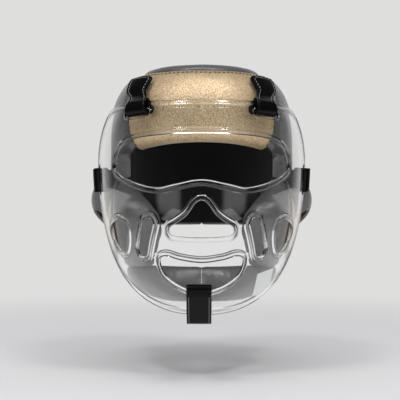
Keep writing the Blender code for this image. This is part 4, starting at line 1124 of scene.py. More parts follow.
BLACK_DARK = (0.002, 0.002, 0.002, 1)
BLACK_LIGHT = (0.005, 0.005, 0.005, 1)
BLACK_LEATHER = grained_leather(
    "black patent leather", BLACK_DARK, BLACK_LIGHT, 1300, 0.015 * MM, 0.15, 0.3, Specular_IOR_Level=0.08
)
STRAP_THREAD = thread_material("strap thread", (0.2, 0.2, 0.2))

columns = border_steps(JAW_PANEL_WIDTH, TRIM_STEP) / JAW_PANEL_WIDTH
rows = border_steps(JAW_PANEL_HEIGHT, TRIM_STEP) / JAW_PANEL_HEIGHT
s, t = np.meshgrid(mix(*JAW_PANEL_ALONG, columns), mix(*JAW_PANEL_UP, rows))
gap = border_gap(JAW_PANEL_WIDTH, JAW_PANEL_HEIGHT, TRIM_STEP)
rubbed = {"edge": np.exp(-gap / (3 * MM))}
way, held = np.linspace(0.05, 0.95, 120), np.full(120, 0.08)
for side in ("left", "right"):
    cheek = COVERS[side + "_cheek"]
    middle = cheek.surface(s, t, JAW_PANEL / 2 + JAW_PANEL_LIFT)[0]
    panel = cushion(side + "_jaw_leather", middle, edge_round(gap, JAW_PANEL), GOLD_LEATHER, rubbed)
    fit(panel, "headgear", "gold_leather", side + "_jaw_panel")
    seams = []
    for across, along in ((held, way), (1 - held, way), (way, 0.6 * held), (way, 1 - 0.6 * held)):
        across, along = mix(*JAW_PANEL_ALONG, across), mix(*JAW_PANEL_UP, along)
        seams.append(cheek.surface(across, along, JAW_PANEL + JAW_PANEL_LIFT))
    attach(sew(side + "_jaw_stitching", seams, DARK_THREAD, 3.6 * MM), "headgear")

tab_low, tab_high = (np.array(corner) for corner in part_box("chin_tab"))
tab_low[0], tab_high[0] = (CHIN_STRAP_SHIFT + half * CHIN_STRAP_WIDTH for half in (-0.5, 0.5))
tab_middle = level_grid(tab_low, tab_high, TRIM_STEP)
gap = border_gap(*(tab_high - tab_low)[:2], TRIM_STEP)
tab = cushion("chin_tongue", tab_middle, edge_round(gap, STRAP), BLACK_LEATHER, {"edge": 0 * gap})
fit(tab, "headgear", "black_leather", "chin_tab")

columns, rows = border_steps(TAG_WIDTH, TAG_STEP), border_steps(TAG_LENGTH, TAG_STEP)
s, t = np.meshgrid(columns / TAG_WIDTH - 0.5, rows / TAG_LENGTH - 0.5)
tag_base = head_point(np.array([TAG_ANGLE]), np.array([CHIN_TOP - TAG_DROP]))
tag_spot = lifted(tag_base, np.array([COVER_TOP + TAG_STANDOFF]))[0]
out = TAG / 2 + TAG_LEAN * TAG_LENGTH * t + TAG_BULGE * np.cos(math.pi * t) * (1 - 2 * s**2)
x = tag_spot[0] + s * TAG_WIDTH * math.cos(TAG_TURN) + out * math.sin(TAG_TURN)
y = tag_spot[1] + s * TAG_WIDTH * math.sin(TAG_TURN) - out * math.cos(TAG_TURN)
tag_middle = np.stack([x, y, tag_spot[2] + TAG_SLANT * s + TAG_LENGTH * t], -1)
tag_material, tree, shader = new_material("white tape", Roughness=0.75)
turned_place = node(tree, "ShaderNodeMapping", {"Vector": object_place(tree), "Rotation": (0, 0, -TAG_TURN)})
threads = {"Vector": turned_place.outputs[0], "Scale": 420.0, "Distortion": 0.4}
across_wave = node(tree, "ShaderNodeTexWave", threads, bands_direction="X")
along_wave = node(tree, "ShaderNodeTexWave", threads, bands_direction="Z")
weave = arithmetic(tree, "MULTIPLY", across_wave.outputs["Fac"], along_wave.outputs["Fac"])
paint(tree, shader, colour_mix(tree, weave, (0.76, 0.76, 0.77, 1), (0.88, 0.88, 0.89, 1)))
emboss(tree, shader, weave, 0.5, 0.1 * MM)
gap = border_gap(TAG_WIDTH, TAG_LENGTH, TAG_STEP)
tag = cushion("white_tag", tag_middle, edge_round(gap, TAG), tag_material)
fit(tag, "headgear", "white_tape", "sewn_tag")


# Shield
# One clear polycarbonate moulding in front of the face. It has openings for the eyes, nose and mouth and
# four slots at the cheeks, each with a raised lip, and plain slots at the top and sides for its straps.

SHIELD_THICKNESS = 3 * MM
SHIELD_AXIS = -20 * MM
SHIELD_HALF_WIDTH = 106 * MM
SHIELD_DEPTH = 124 * MM
SHIELD_TOP = 61 * MM
SHIELD_MIDDLE = -20 * MM
SHIELD_LOW = -145 * MM
SHIELD_SIDE_ANGLE = 84 * DEG
SHIELD_TOP_SQUARENESS = 7
SHIELD_LOW_SQUARENESS = 2.5
SHIELD_WIDEST = 5 * MM
SHIELD_WIDTH_RISE = 115 * MM
SHIELD_WIDTH_FALL = 191 * MM
SHIELD_DEEPEST = -43 * MM
SHIELD_DEPTH_RISE = 173 * MM
SHIELD_DEPTH_FALL = 134 * MM
LIP_RISE = 1.4 * MM
RIM_RISE = 0.9 * MM
LIP_FALL = 3.6 * MM, 6.2 * MM  # from an edge to where its lip starts to fall, and to where it ends
LIPPED = 8  # outlines with a lip: the edge, three openings and the four slots at the cheeks
CLEAR = (0.985, 0.99, 0.99, 1)

# Left halves of the openings seen from the front, in millimetres from the middle and from eye height.
EYE_BROW = ((0, 28), (36, 27), (64, 24), (78, 17), (84, 1))
EYE_OPENING = (*EYE_BROW, (79, -9), (62, -18), (42, -22.5), (24, -19), (0, -15))
NOSE_OPENING = ((0, -34.5), (6, -38), (13, -48), (22, -55), (29.5, -60), (28, -66), (16, -68), (0, -68.5))
MOUTH_OPENING = ((0, -93), (20, -90.5), (33, -87), (39, -91), (33, -106), (17, -117), (0, -120.5))
JAW_OPENING = ((79, -53), (86, -57), (88, -66), (83.5, -77), (77, -85), (72.5, -83), (70.5, -72), (72, -59))
CHEEK_SLOT = ((50.5, -56.5), (55.5, -82))
CHEEK_SLOT_WIDTH = 12 * MM

STRAP_WIDTH = 25 * MM
BAR = 6.5 * MM
SLOT = 10 * MM
SLOT_EASE = 4 * MM
TOP_STRAP_OFFSET = 60 * MM
SIDE_STRAP_LEVEL = -14 * MM


def shield_half_width(level):
    """Half width of the shield at a height: two quarter ellipses, up and down from its widest level."""
    rise = (level - SHIELD_WIDEST) / np.where(level > SHIELD_WIDEST, SHIELD_WIDTH_RISE, SHIELD_WIDTH_FALL)
    return SHIELD_HALF_WIDTH * np.sqrt(1 - rise**2)


def shield_depth(level):
    """Depth of the shield at a height: two quarter ellipses, up and down from its deepest level."""
    rise = (level - SHIELD_DEEPEST) / np.where(level > SHIELD_DEEPEST, SHIELD_DEPTH_RISE, SHIELD_DEPTH_FALL)
    return SHIELD_DEPTH * np.sqrt(1 - rise**2)


def shield_point(angle, level, height=0.0):
    """A point over the outside of the shield: an ellipse as wide and as deep as the shield is at that height,
    and then a height square to it."""

    def outside(angle, level):
        x = shield_half_width(level) * np.sin(angle)
        return np.stack([x, SHIELD_AXIS - shield_depth(level) * np.cos(angle), level], -1)

    step = 0.1 * MM
    round_it = outside(angle + step, level) - outside(angle - step, level)
    up_it = outside(angle, level + step) - outside(angle, level - step)
    return outside(angle, level) + unit(np.cross(round_it, up_it)) * np.asarray(height)[..., None]


def shield_turn(angle, level):
    """Length on the shield for one radian of its angle."""
    return np.hypot(shield_half_width(level) * np.cos(angle), shield_depth(level) * np.sin(angle))


def shield_edge(turn):
    """The shield's outline, as an angle and a height: a superellipse, squarer at the top than below."""
    upper = np.sin(turn) > 0
    square = np.where(upper, SHIELD_TOP_SQUARENESS, SHIELD_LOW_SQUARENESS)
    rise = np.where(upper, SHIELD_TOP - SHIELD_MIDDLE, SHIELD_MIDDLE - SHIELD_LOW)
    size = (np.abs(np.cos(turn)) ** square + np.abs(np.sin(turn)) ** square) ** (-1 / square)
    return SHIELD_SIDE_ANGLE * np.cos(turn) * size, SHIELD_MIDDLE + rise * np.sin(turn) * size


def front_outline(points, count=16):
    """A closed outline through points seen from the front, by Catmull and Rom's cubic curves, given as angles
    and heights on the shield."""
    whole = np.array(points) * MM
    before, after, later = (np.roll(whole, shift, 0) for shift in (1, -1, -2))
    share = np.linspace(0, 1, count, endpoint=False)[:, None, None]
    points = (
        whole
        + (after - before) / 2 * share
        + (before - 2.5 * whole + 2 * after - later / 2) * share**2
        + (1.5 * (whole - after) + (later - before) / 2) * share**3
    )
    x, level = points.transpose(1, 0, 2).reshape(-1, 2).T
    return np.arcsin(x / shield_half_width(level)), level


def slot_outline(start, end, width, count=24):
    """A slot with half circles at both ends between two places, each an angle and a height."""
    turn = shield_turn((start[0] + end[0]) / 2, (start[1] + end[1]) / 2)
    ends = np.array([(start[0] * turn, start[1]), (end[0] * turn, end[1])])
    along = unit(ends[1] - ends[0])
    across = np.array([-along[1], along[0]])
    half_turn = np.linspace(0, math.pi, count)[:, None]
    round_end = np.cos(half_turn) * across + np.sin(half_turn) * along
    points = np.concatenate([ends[1] + round_end * width / 2, ends[0] - round_end * width / 2])
    return points[:, 0] / turn, points[:, 1]


TOP_STRAP_ANGLE = math.asin(TOP_STRAP_OFFSET / float(shield_half_width(np.array(SHIELD_TOP))))
SIDE_TURN = float(shield_turn(SHIELD_SIDE_ANGLE, SIDE_STRAP_LEVEL))
FLAT_TURN = (SHIELD_HALF_WIDTH + SHIELD_DEPTH) / 2

outlines = [shield_edge(np.linspace(0, 2 * math.pi, 3000, endpoint=False))]
for half in (EYE_OPENING, NOSE_OPENING, MOUTH_OPENING):
    outlines.append(front_outline(np.concatenate([half, np.array(half[-2:0:-1]) * (-1, 1)])))
places = [(math.asin(x * MM / float(shield_half_width(level * MM))), level * MM) for x, level in CHEEK_SLOT]
for side in (1, -1):
    outlines.append(slot_outline(*((angle * side, level) for angle, level in places), CHEEK_SLOT_WIDTH))
    outlines.append(front_outline(np.array(JAW_OPENING) * (side, 1)))
slot_level = SHIELD_TOP - BAR - SLOT / 2
slot_reach = STRAP_WIDTH / 2 + SLOT_EASE - SLOT / 2
slot_angle = slot_reach / float(shield_turn(TOP_STRAP_ANGLE, slot_level))
side_slot = SHIELD_SIDE_ANGLE - (BAR + SLOT / 2) / SIDE_TURN
for side in (1, -1):
    ends = [(side * TOP_STRAP_ANGLE + turn, slot_level) for turn in (-slot_angle, slot_angle)]
    outlines.append(slot_outline(*ends, SLOT))
    ends = [(side * side_slot, SIDE_STRAP_LEVEL + rise) for rise in (-slot_reach, slot_reach)]
    outlines.append(slot_outline(*ends, SLOT))
loops = [even_loop(np.stack([angle * FLAT_TURN, level], 1), 2 * MM) for angle, level in outlines]
lip_steps = np.array([0.3, 0.7, 1.2, 2, 3, 3.8, 4.4, 5, 5.6, 6.2, 7, 8.2]) * MM
plain_steps = np.array([0.3, 0.7, 1.2, 2, 3]) * MM
steps = [lip_steps] * LIPPED + [plain_steps] * (len(loops) - LIPPED)
sheet, triangles, gaps = filled_sheet(loops[0], loops[1:], steps, 3.4 * MM)
lip = LIP_RISE * (1 - smooth_step(gaps[1:LIPPED].min(0), *LIP_FALL))
rim = RIM_RISE * (1 - smooth_step(gaps[0], *LIP_FALL))
raised = np.maximum(lip, rim)
cut = gaps.min(0)
rounding = SHIELD_THICKNESS / 2 - edge_round(cut, SHIELD_THICKNESS)
angle, level = sheet[:, 0] / FLAT_TURN, sheet[:, 1]

clear_plastic, tree, shader = new_material(
    "clear plastic", Transmission_Weight=1.0, IOR=1.585, Base_Color=CLEAR
)
haze = noise(tree, object_place(tree), 35.0, 5.0, 0.7)
limits = {"Value": haze, "From Min": 0.35, "From Max": 0.75, "To Min": 0.0, "To Max": 0.03}
smudge = node(tree, "ShaderNodeMapRange", limits)
tree.links.new(smudge.outputs["Result"], shader.inputs["Roughness"])
path_kind = node(tree, "ShaderNodeLightPath")
through = node(tree, "ShaderNodeBsdfTransparent", {"Color": CLEAR})
kinds = {0: path_kind.outputs["Is Shadow Ray"], 1: shader.outputs[0], 2: through.outputs[0]}
either = node(tree, "ShaderNodeMixShader", kinds)
tree.links.new(either.outputs[0], tree.nodes["Material Output"].inputs["Surface"])

shield = two_faced(
    "clear_shield",
    shield_point(angle, level, raised - rounding),
    shield_point(angle, level, raised - SHIELD_THICKNESS + rounding),
    triangles,
    cut < 1e-7,
    clear_plastic,
)
fit(shield, "shield", "clear_plastic", "face_shield")


# Straps of the shield
# Five straps of black patent leather, each through a slot, round the bar beside it and back, sewn together,
# and stuck down on the guard with hook-and-loop tape. Each is one band, swept along its path.

TAIL_LOW = COVER_TOP + REST_GAP + 3.2 * MM
TAIL_MIDDLE = TAIL_LOW + STRAP / 2
PATCH = 1.2 * MM
PATCH_MARGIN = 2 * MM
LOOP_PATCH_LOW = COVER_TOP + REST_GAP
HOOK_PATCH_LOW = LOOP_PATCH_LOW + PATCH + LAYER_GAP
FOLD_RADIUS = 5.8 * MM
LOOP_END_RADIUS = 1.6 * MM
SEWN_GAP = 0.2 * MM
LOOP_REACH = LOOP_END_RADIUS + STRAP + 0.8 * MM + STRAP / 2
TOP_LOOP_RUN = 15 * MM
TOP_TAIL_LEVEL = PAD_TOP - 7 * MM
TOP_TAIL_OFFSETS = 49.5 * MM, 46.5 * MM  # from the middle plane at its root and at its end
TOP_LEAN = -2 * MM, 7 * MM  # sideways from the middle of the bar to the sewn end of the loop
SIDE_LOOP_RUN = 12 * MM
SIDE_TAIL_ANGLE = 94 * DEG
CHIN_FOLD_RADIUS = 4.2 * MM
CHIN_LOOP_DROP = 12 * MM
CHIN_TAIL_RISE = 9 * MM
CHIN_TAIL_LENGTH = 34 * MM
CORNER = 6 * MM
CORNER_SHARE = 0.85
SOFTENED_STEP = 0.6 * MM
SOFTENED_PASSES = 24
STEP_ALONG = 0.9 * MM
STEP_ACROSS = 1.2 * MM
EMBOSSED = 0.25 * MM  # depth of the sewn groove, and height of the bead outside it
BEAD_INSET = 1.1 * MM
STITCH_INSET = 2.4 * MM
SEWN_PAST_ROOT = 30 * MM
CHIN_SEWN = 90 * MM
TOP_TAPE = 0.2, 0.94  # shares of a tail's path
SIDE_TAPE = 0.15, 0.94
TOP_TAPE_NARROWER = 3 * MM
TAPE_STEP = 0.8 * MM
PILE = 0.12 * MM

# Widths in millimetres at shares of a tail, from its root, and at shares of a loop, from its sewn end.
TAIL_SHARES = 0, 0.4, 1
TOP_TAIL_WIDTHS = 23.5, 26, 30
SIDE_TAIL_WIDTHS = 24, 24.5, 24.5
LOOP_SHARES = 0, 0.12, 0.4, 1
TOP_LOOP_WIDTHS = 22.5, 23.5, 28.5, 28.5
SIDE_LOOP_WIDTHS = 24, 24, 24.5, 24.5


def onto_head(points):
    """Points moved along their lines to the middle of the head until its equation gives 1."""
    offset = points - np.array([0, 0, HEAD_WIDEST])
    x, y, z = np.moveaxis(offset, -1, 0)
    reach, square = head_form(z + HEAD_WIDEST)
    share = np.hypot(x / HEAD_HALF_WIDTH, y / head_depth(y))
    size = (share**square + np.abs(z / reach) ** square) ** (1 / square)
    return offset / size[..., None] + np.array([0, 0, HEAD_WIDEST])


def face_point(x, level):
    """The point on the front of the head at a distance from the middle plane, and at a height."""
    forward = np.sqrt(head_share(level) ** 2 - (x / HEAD_HALF_WIDTH) ** 2)
    return np.stack([x + 0 * level, -forward * HEAD_FRONT, level + 0 * x], -1)


def ribbon_grid(path, spots, shares, widths, heights, level_ends):
    """A grid on the head along a path: a row at each place, as wide and as high over the head as given. Rows
    are level, or else square to the path."""
    step = 0.001
    middle = path(spots)
    ahead = np.array([0, 0, 1.0]) if level_ends else path(spots + step) - path(spots - step)
    across = unit(np.cross(head_normal(middle), ahead))
    offset = (shares - 0.5) * np.reshape(widths, (-1, 1))
    base = onto_head(middle[:, None] + across[:, None] * offset[..., None])
    return lifted(base, np.reshape(heights, (-1, 1)) + 0 * offset), across


def bar_frame(angle, level, upright):
    """Middle of a bar of the shield, and the directions across it, out of it and along it."""
    step = 0.1 * MM
    middle = shield_point(np.array(angle), np.array(level), -SHIELD_THICKNESS / 2)
    outward = unit(shield_point(np.array(angle), np.array(level), step) - middle)
    turn, rise = (step, 0) if upright else (0, step)
    run = shield_point(np.array(angle + turn), np.array(level + rise))
    run = unit(run - shield_point(np.array(angle - turn), np.array(level - rise)))
    run = run * (math.copysign(1, angle) if upright else 1)
    return middle, run, outward, np.cross(run, outward)


def meet_head(start, run, along, distance):
    """The place on the head under a point a distance along a strap, kept in the strap's own plane."""
    ahead = start + run * distance
    for _ in range(7):
        base = onto_head(ahead)
        over = lifted(base, TAIL_MIDDLE)
        ahead = ahead - along * np.dot(over - start, along)
    return base


def loop_path(fold, fold_radius, end, end_gap, count=24):
    """The middle of a band from its sewn end, over the outer side, round the bar and back along the inner
    side: two straight runs that touch the circles at both ends."""
    fold, end = np.array(fold), np.array(end)
    apart = np.linalg.norm(end - fold)
    heading = math.atan2(*(end - fold)[::-1])
    radius, end_radius = fold_radius + STRAP / 2, end_gap + STRAP / 2
    lean = math.acos((radius - end_radius) / apart)
    turn = heading + np.linspace(lean, 2 * math.pi - lean, count)
    first = end + end_radius * np.array([math.cos(turn[0]), math.sin(turn[0])])
    last = end + end_radius * np.array([math.cos(turn[-1]), math.sin(turn[-1])])
    return np.concatenate([[first], fold + radius * np.stack([np.cos(turn), np.sin(turn)], 1), [last]])


def evened(grid, places):
    """Rows of a grid laid out again at distances along its middle."""
    middle = grid[:, grid.shape[1] // 2]
    run = np.concatenate([[0], np.cumsum(np.linalg.norm(np.diff(middle, axis=0), axis=1))])
    flat = grid.reshape(len(grid), -1)
    new = np.stack([np.interp(places(run[-1]), run, column) for column in flat.T], 1)
    return new.reshape(-1, *grid.shape[1:])


def softened(grid, passes):
    """A grid with each inner row moved to the weighted middle of itself and its neighbours, several times."""
    for _ in range(passes):
        grid = np.concatenate([grid[:1], 0.25 * grid[:-2] + 0.5 * grid[1:-1] + 0.25 * grid[2:], grid[-1:]])
    return grid


def tail_root(path, height):
    """Where a tail starts on its path, at a height over the head, and the direction that it runs in."""
    root, further = lifted(path(np.array([0.0, 0.05])), height)
    return root, unit(further - root)


def strap_piece(name, grid, nodes, sewn_to):
    """One strap from the rows of its band, which start at the end of its tail. That end has round corners,
    and the edges are rounded and sewn."""
    grid = evened(grid, lambda total: np.linspace(0, total, round(total / SOFTENED_STEP)))
    grid = evened(softened(grid, SOFTENED_PASSES), lambda total: border_steps(total, STEP_ALONG))
    middle = grid[:, grid.shape[1] // 2][:, None]
    run = np.concatenate([[0], np.cumsum(np.linalg.norm(np.diff(middle[:, 0], axis=0), axis=1))])
    width = np.linalg.norm(grid[:, -1] - grid[:, 0], axis=1)
    past = np.clip(run / CORNER, 0, 1)
    narrow = 1 - 2 * CORNER * (1 - np.sqrt(1 - (1 - past) ** 2)) / width * CORNER_SHARE
    grid = middle + (grid - middle) * narrow[:, None, None]
    width = width * narrow
    offset = np.linalg.norm(grid - middle, axis=2)
    gap = np.minimum(width[:, None] / 2 - offset, np.minimum(run, run[-1] - run)[:, None])
    gap = np.maximum(gap, 0)
    gap[[0, -1]] = 0
    gap[:, [0, -1]] = 0
    groove = EMBOSSED * np.exp(-(((gap - STITCH_INSET) / (0.7 * MM)) ** 2))
    bead = EMBOSSED * np.exp(-(((gap - BEAD_INSET) / (0.5 * MM)) ** 2))
    half = edge_round(gap, STRAP) - groove + bead
    strap = cushion(name, grid, half, BLACK_LEATHER, {"edge": 0 * half})
    out = grid_normal(grid)
    if np.sum(out[3, out.shape[1] // 2] * head_normal(grid[3, grid.shape[1] // 2])) < 0:
        out = -out
    face = grid + out * half[..., None]
    row = len(grid) // 4
    past_seam = offset[row, : grid.shape[1] // 2] - (width[row] / 2 - STITCH_INSET)
    column = int(np.argmin(np.abs(past_seam)))
    rows = (run > STITCH_INSET) & (run < sewn_to)
    lines = [(face[rows, edge], out[rows, edge]) for edge in (column, grid.shape[1] - 1 - column)]
    end_row = int(np.argmin(np.abs(run - STITCH_INSET)))
    inner = slice(column, grid.shape[1] - column)
    lines.append((face[end_row, inner], out[end_row, inner]))
    stitching = sew(name + "_stitching", lines, STRAP_THREAD, 3.4 * MM, 2.2 * MM, 0.34 * MM)
    for piece in (strap, stitching):
        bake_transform(piece)
    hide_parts(*nodes)


TAPE = brushed_cloth("hook and loop tape", (0.006, 0.006, 0.006, 1), (0.03, 0.03, 0.03, 1), 3800)


def tape_piece(name, grid, width, length, body):
    """One patch of tape: a thin strip with a rough pile, which stands up unevenly inside its edges."""
    gap = border_gap(width, length, TAPE_STEP)
    row, column = np.indices(gap.shape)
    pile = PILE * np.sin(2.1 * row) * np.sin(1.9 * column + row) * np.clip(gap / (1.5 * MM), 0, 1)
    tape = cushion(name + "_tape", grid, edge_round(gap, PATCH) - PILE * (gap > 0) + pile, TAPE)
    fit(tape, body, "hook_and_loop", name + "_patch")


def tape_pair(name, path, ends, width, length, strap, level_ends):
    """The hook patch under a strap's tail, and the loop patch under that on the guard, between two shares
    of the tail's path."""
    spots = mix(*ends, border_steps(length, TAPE_STEP) / length)
    shares = border_steps(width, TAPE_STEP) / width
    for kind, low, body in (("hook", HOOK_PATCH_LOW, strap), ("loop", LOOP_PATCH_LOW, "headgear")):
        grid = ribbon_grid(path, spots, shares, width, low + PATCH / 2, level_ends)[0]
        tape_piece(name + "_" + kind, grid, width, length, body)


def strap_shares(width):
    return border_steps(width, STEP_ACROSS) / width


shares = strap_shares(STRAP_WIDTH)
for name, side, upright in (
    ("top_left", 1, False),
    ("top_right", -1, False),
    ("side_left", 1, True),
    ("side_right", -1, True),
):
    if upright:
        place = (SHIELD_SIDE_ANGLE - BAR / 2 / SIDE_TURN) * side, SIDE_STRAP_LEVEL
    else:
        place = TOP_STRAP_ANGLE * side, SHIELD_TOP - BAR / 2
    bar, run, outward, along = bar_frame(*place, upright)
    base = meet_head(bar, run, along, SIDE_LOOP_RUN if upright else TOP_LOOP_RUN)
    end = lifted(base, TAIL_MIDDLE) - bar
    if upright:
        start = math.atan2(abs(base[0]) / HEAD_HALF_WIDTH, -base[1] / HEAD_FRONT)
        start = start + LOOP_REACH / (HEAD_FRONT + COVER_TOP)
        path = lambda t: head_point(side * mix(start, SIDE_TAIL_ANGLE, t), base[2] + 0 * t)
    else:
        slope = head_normal(base)
        start = base[2] + LOOP_REACH * math.hypot(slope[0], slope[1])
        path = lambda t: face_point(side * mix(*TOP_TAIL_OFFSETS, t), mix(start, TOP_TAIL_LEVEL, t))
    spots = np.linspace(1, 0, 60)
    tail_width = np.interp(spots, TAIL_SHARES, SIDE_TAIL_WIDTHS if upright else TOP_TAIL_WIDTHS) * MM
    tail, across = ribbon_grid(path, spots, shares, tail_width, TAIL_MIDDLE, not upright)
    flat_loop = loop_path((-BAR / 2, 0), FOLD_RADIUS, (np.dot(end, run), np.dot(end, outward)), SEWN_GAP)
    way = np.linspace(0, 1, len(flat_loop))
    loop_width = np.interp(way, LOOP_SHARES, SIDE_LOOP_WIDTHS if upright else TOP_LOOP_WIDTHS) * MM
    loop_width[-1] = loop_width[0]
    hand = math.copysign(1, np.dot(across[-1], along))
    offset = along * hand * ((shares - 0.5)[None] * loop_width[:, None])[..., None]
    lean = 0 if upright else mix(*TOP_LEAN, smooth_step(flat_loop[:, :1], 0, flat_loop[0, 0]))
    outwards = along * math.copysign(1, side * along[0])
    loop = (bar + flat_loop[:, :1] * run + flat_loop[:, 1:] * outward + lean * outwards)[:, None] + offset
    band = np.concatenate([tail, loop])
    root, ahead = tail_root(path, TAIL_MIDDLE)
    length = float(np.sum(np.linalg.norm(np.diff(path(spots), axis=0), axis=1)))
    nodes = name + "_tail", name + "_strap_loop"
    sewn_to = length + SEWN_PAST_ROOT
    strap_piece(name + "_leather", band, nodes, sewn_to)

    tape_ends = SIDE_TAPE if upright else TOP_TAPE
    tape_width = STRAP_WIDTH - 2 * PATCH_MARGIN - (0 if upright else TOP_TAPE_NARROWER)
    tape_length = (tape_ends[1] - tape_ends[0]) * length
    tape_pair(name, path, tape_ends, tape_width, tape_length, name + "_strap", not upright)

mouth_low = MOUTH_OPENING[-1][1] * MM
bar, up, outward, along = bar_frame(0.0, (mouth_low + SHIELD_LOW) / 2, False)
run = -up
bar_top = shield_point(np.array(0.0), np.array(mouth_low), -SHIELD_THICKNESS / 2) - bar
bar_end = shield_point(np.array(0.0), np.array(SHIELD_LOW), -SHIELD_THICKNESS / 2) - bar
fold = np.dot(bar_top, run), np.dot(bar_top, outward) / 2
end = np.dot(bar_end, run) + CHIN_LOOP_DROP, 2 * np.dot(bar_end, outward)
flat_loop = loop_path(fold, CHIN_FOLD_RADIUS, end, LOOP_END_RADIUS)
corner = bar + run * end[0] + outward * end[1]
root = corner + (0, LOOP_REACH, 0)
tail_top = tab_high[2] - STRAP - 2 * (PATCH + LAYER_GAP) - LAYER_GAP
shares = strap_shares(CHIN_STRAP_WIDTH)
y = np.linspace(root[1] + CHIN_TAIL_LENGTH, root[1], 50)
level = mix(root[2], tail_top - STRAP / 2, smooth_step(y, root[1], root[1] + CHIN_TAIL_RISE))
x = (shares - 0.5) * CHIN_STRAP_WIDTH + CHIN_STRAP_SHIFT
tail = np.stack([x[None] + 0 * y[:, None], y[:, None] + 0 * x[None], level[:, None] + 0 * x[None]], -1)
loop = (bar + flat_loop[:, :1] * run + flat_loop[:, 1:] * outward)[:, None]
band = np.concatenate([tail, loop + x[None, :, None] * np.array([1.0, 0, 0])])
nodes = "chin_strap_tail", "chin_strap_strap_loop"
strap_piece("chin_leather", band, nodes, CHIN_SEWN)
for kind, body in (("hook", "chin_strap"), ("loop", "headgear")):
    low, high = (np.array(corner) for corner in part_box("chin_strap_" + kind + "_patch"))
    tape_piece("chin_strap_" + kind, level_grid(low, high, TAPE_STEP), *(high - low)[:2], body)


# Rear strap
# A wide black strap that closes the slit down the back: sewn to the left back flap, and stuck to the right
# one with hook-and-loop tape.

REAR_STRAP_WIDTH = 44 * MM
REAR_STRAP_LEVEL = -18 * MM
REAR_ROOT_ANGLE = 150 * DEG
REAR_END_ANGLE = 214 * DEG
REAR_PATCH_ANGLE = 192 * DEG
REAR_PATCH_END = 0.97  # share of the strap's path


def rear_path(t):
    return head_point(mix(REAR_ROOT_ANGLE, REAR_END_ANGLE, t), REAR_STRAP_LEVEL + 0 * t)


shares = strap_shares(REAR_STRAP_WIDTH)
spots = np.linspace(1, -0.1, 120)
root_low = COVER_TOP + REST_GAP
heights = mix(root_low, TAIL_LOW, smooth_step(spots, 0, 0.4)) + STRAP / 2
band = ribbon_grid(rear_path, spots, shares, REAR_STRAP_WIDTH, heights, False)[0]
root, ahead = tail_root(rear_path, root_low + STRAP / 2)
strap_piece("rear_leather", band, ("rear_strap",), math.inf)
start = (REAR_PATCH_ANGLE - REAR_ROOT_ANGLE) / (REAR_END_ANGLE - REAR_ROOT_ANGLE)
tape_width = REAR_STRAP_WIDTH - 2 * PATCH_MARGIN
tape_run = rear_path(np.linspace(start, REAR_PATCH_END, 50))
tape_length = float(np.linalg.norm(np.diff(tape_run, axis=0), axis=1).sum())
tape_pair("rear", rear_path, (start, REAR_PATCH_END), tape_width, tape_length, "rear_strap", False)


# Floor, light and camera
# A wide pale floor that fades into a pale backdrop, a tall soft box at each side, two keys, a strip and a
# box overhead, a card on the floor, and the camera. In reflections the room in front and overhead is dark,
# and the floor glows a little in them: a painted reflection, which its shadow doesn't dim.

FLOOR_LEVEL = -0.209
BACKDROP = (0.735, 0.732, 0.728, 1)
FLOOR_RADIUS = 9
FLOOR_FADE = 0.35, 0.95  # distances between which it turns into the backdrop
TABLE_REACH = 0.62  # how far out the floor shows in reflections
TABLE_EDGE = 0.08
PAINTED_REFLECTION_GLOW = 0.6
FACE = (0, 0, -0.03)

scene = bpy.context.scene
scene.view_settings.view_transform = "Standard"


floor_turn, floor_reach = np.meshgrid(np.linspace(0, 2 * math.pi, 97), np.geomspace(0.001, FLOOR_RADIUS, 40))
floor_x, floor_y = floor_reach * np.cos(floor_turn), floor_reach * np.sin(floor_turn)
floor_points = np.stack([floor_x, floor_y, FLOOR_LEVEL + 0 * floor_turn], -1)
floor_index = np.arange(floor_turn.size).reshape(floor_turn.shape)
floor_material, tree, shader = new_material(
    "pale floor", Roughness=0.9, Specular_IOR_Level=0.0, Emission_Strength=1.0
)
place = object_place(tree)
axes = node(tree, "ShaderNodeSeparateXYZ", {"Vector": place})
reach = node(tree, "ShaderNodeVectorMath", {"Vector": place}, operation="LENGTH").outputs["Value"]
far = ramp(tree, reach, *FLOOR_FADE)
paper = noise(tree, place, 4.0, 3.0)
near_colour = colour_mix(tree, paper, (0.71, 0.71, 0.717, 1), (0.75, 0.75, 0.756, 1))
paint(tree, shader, colour_mix(tree, far, near_colour, (0, 0, 0, 1)))
path_kind = node(tree, "ShaderNodeLightPath")
mirrored_once = arithmetic(tree, "MINIMUM", path_kind.outputs["Glossy Depth"], 1.0)
not_behind = ramp(tree, axes.outputs["Y"], 0.8, 0.2)
past_table = ramp(tree, reach, TABLE_REACH - TABLE_EDGE, TABLE_REACH + TABLE_EDGE)
unseen = arithmetic(tree, "MULTIPLY", mirrored_once, arithmetic(tree, "MULTIPLY", past_table, not_behind))
# In reflections the floor also glows at a share of the backdrop colour, on top of its lighting and through
# its shadow: a painted reflection.
lit = arithmetic(tree, "MAXIMUM", far, arithmetic(tree, "MULTIPLY", mirrored_once, PAINTED_REFLECTION_GLOW))
glow = arithmetic(tree, "MULTIPLY", lit, arithmetic(tree, "SUBTRACT", 1.0, unseen))
tree.links.new(colour_mix(tree, glow, (0, 0, 0, 1), BACKDROP), shader.inputs["Emission Color"])
floor = make_piece("floor", floor_points, [grid_faces(floor_index)], floor_material)

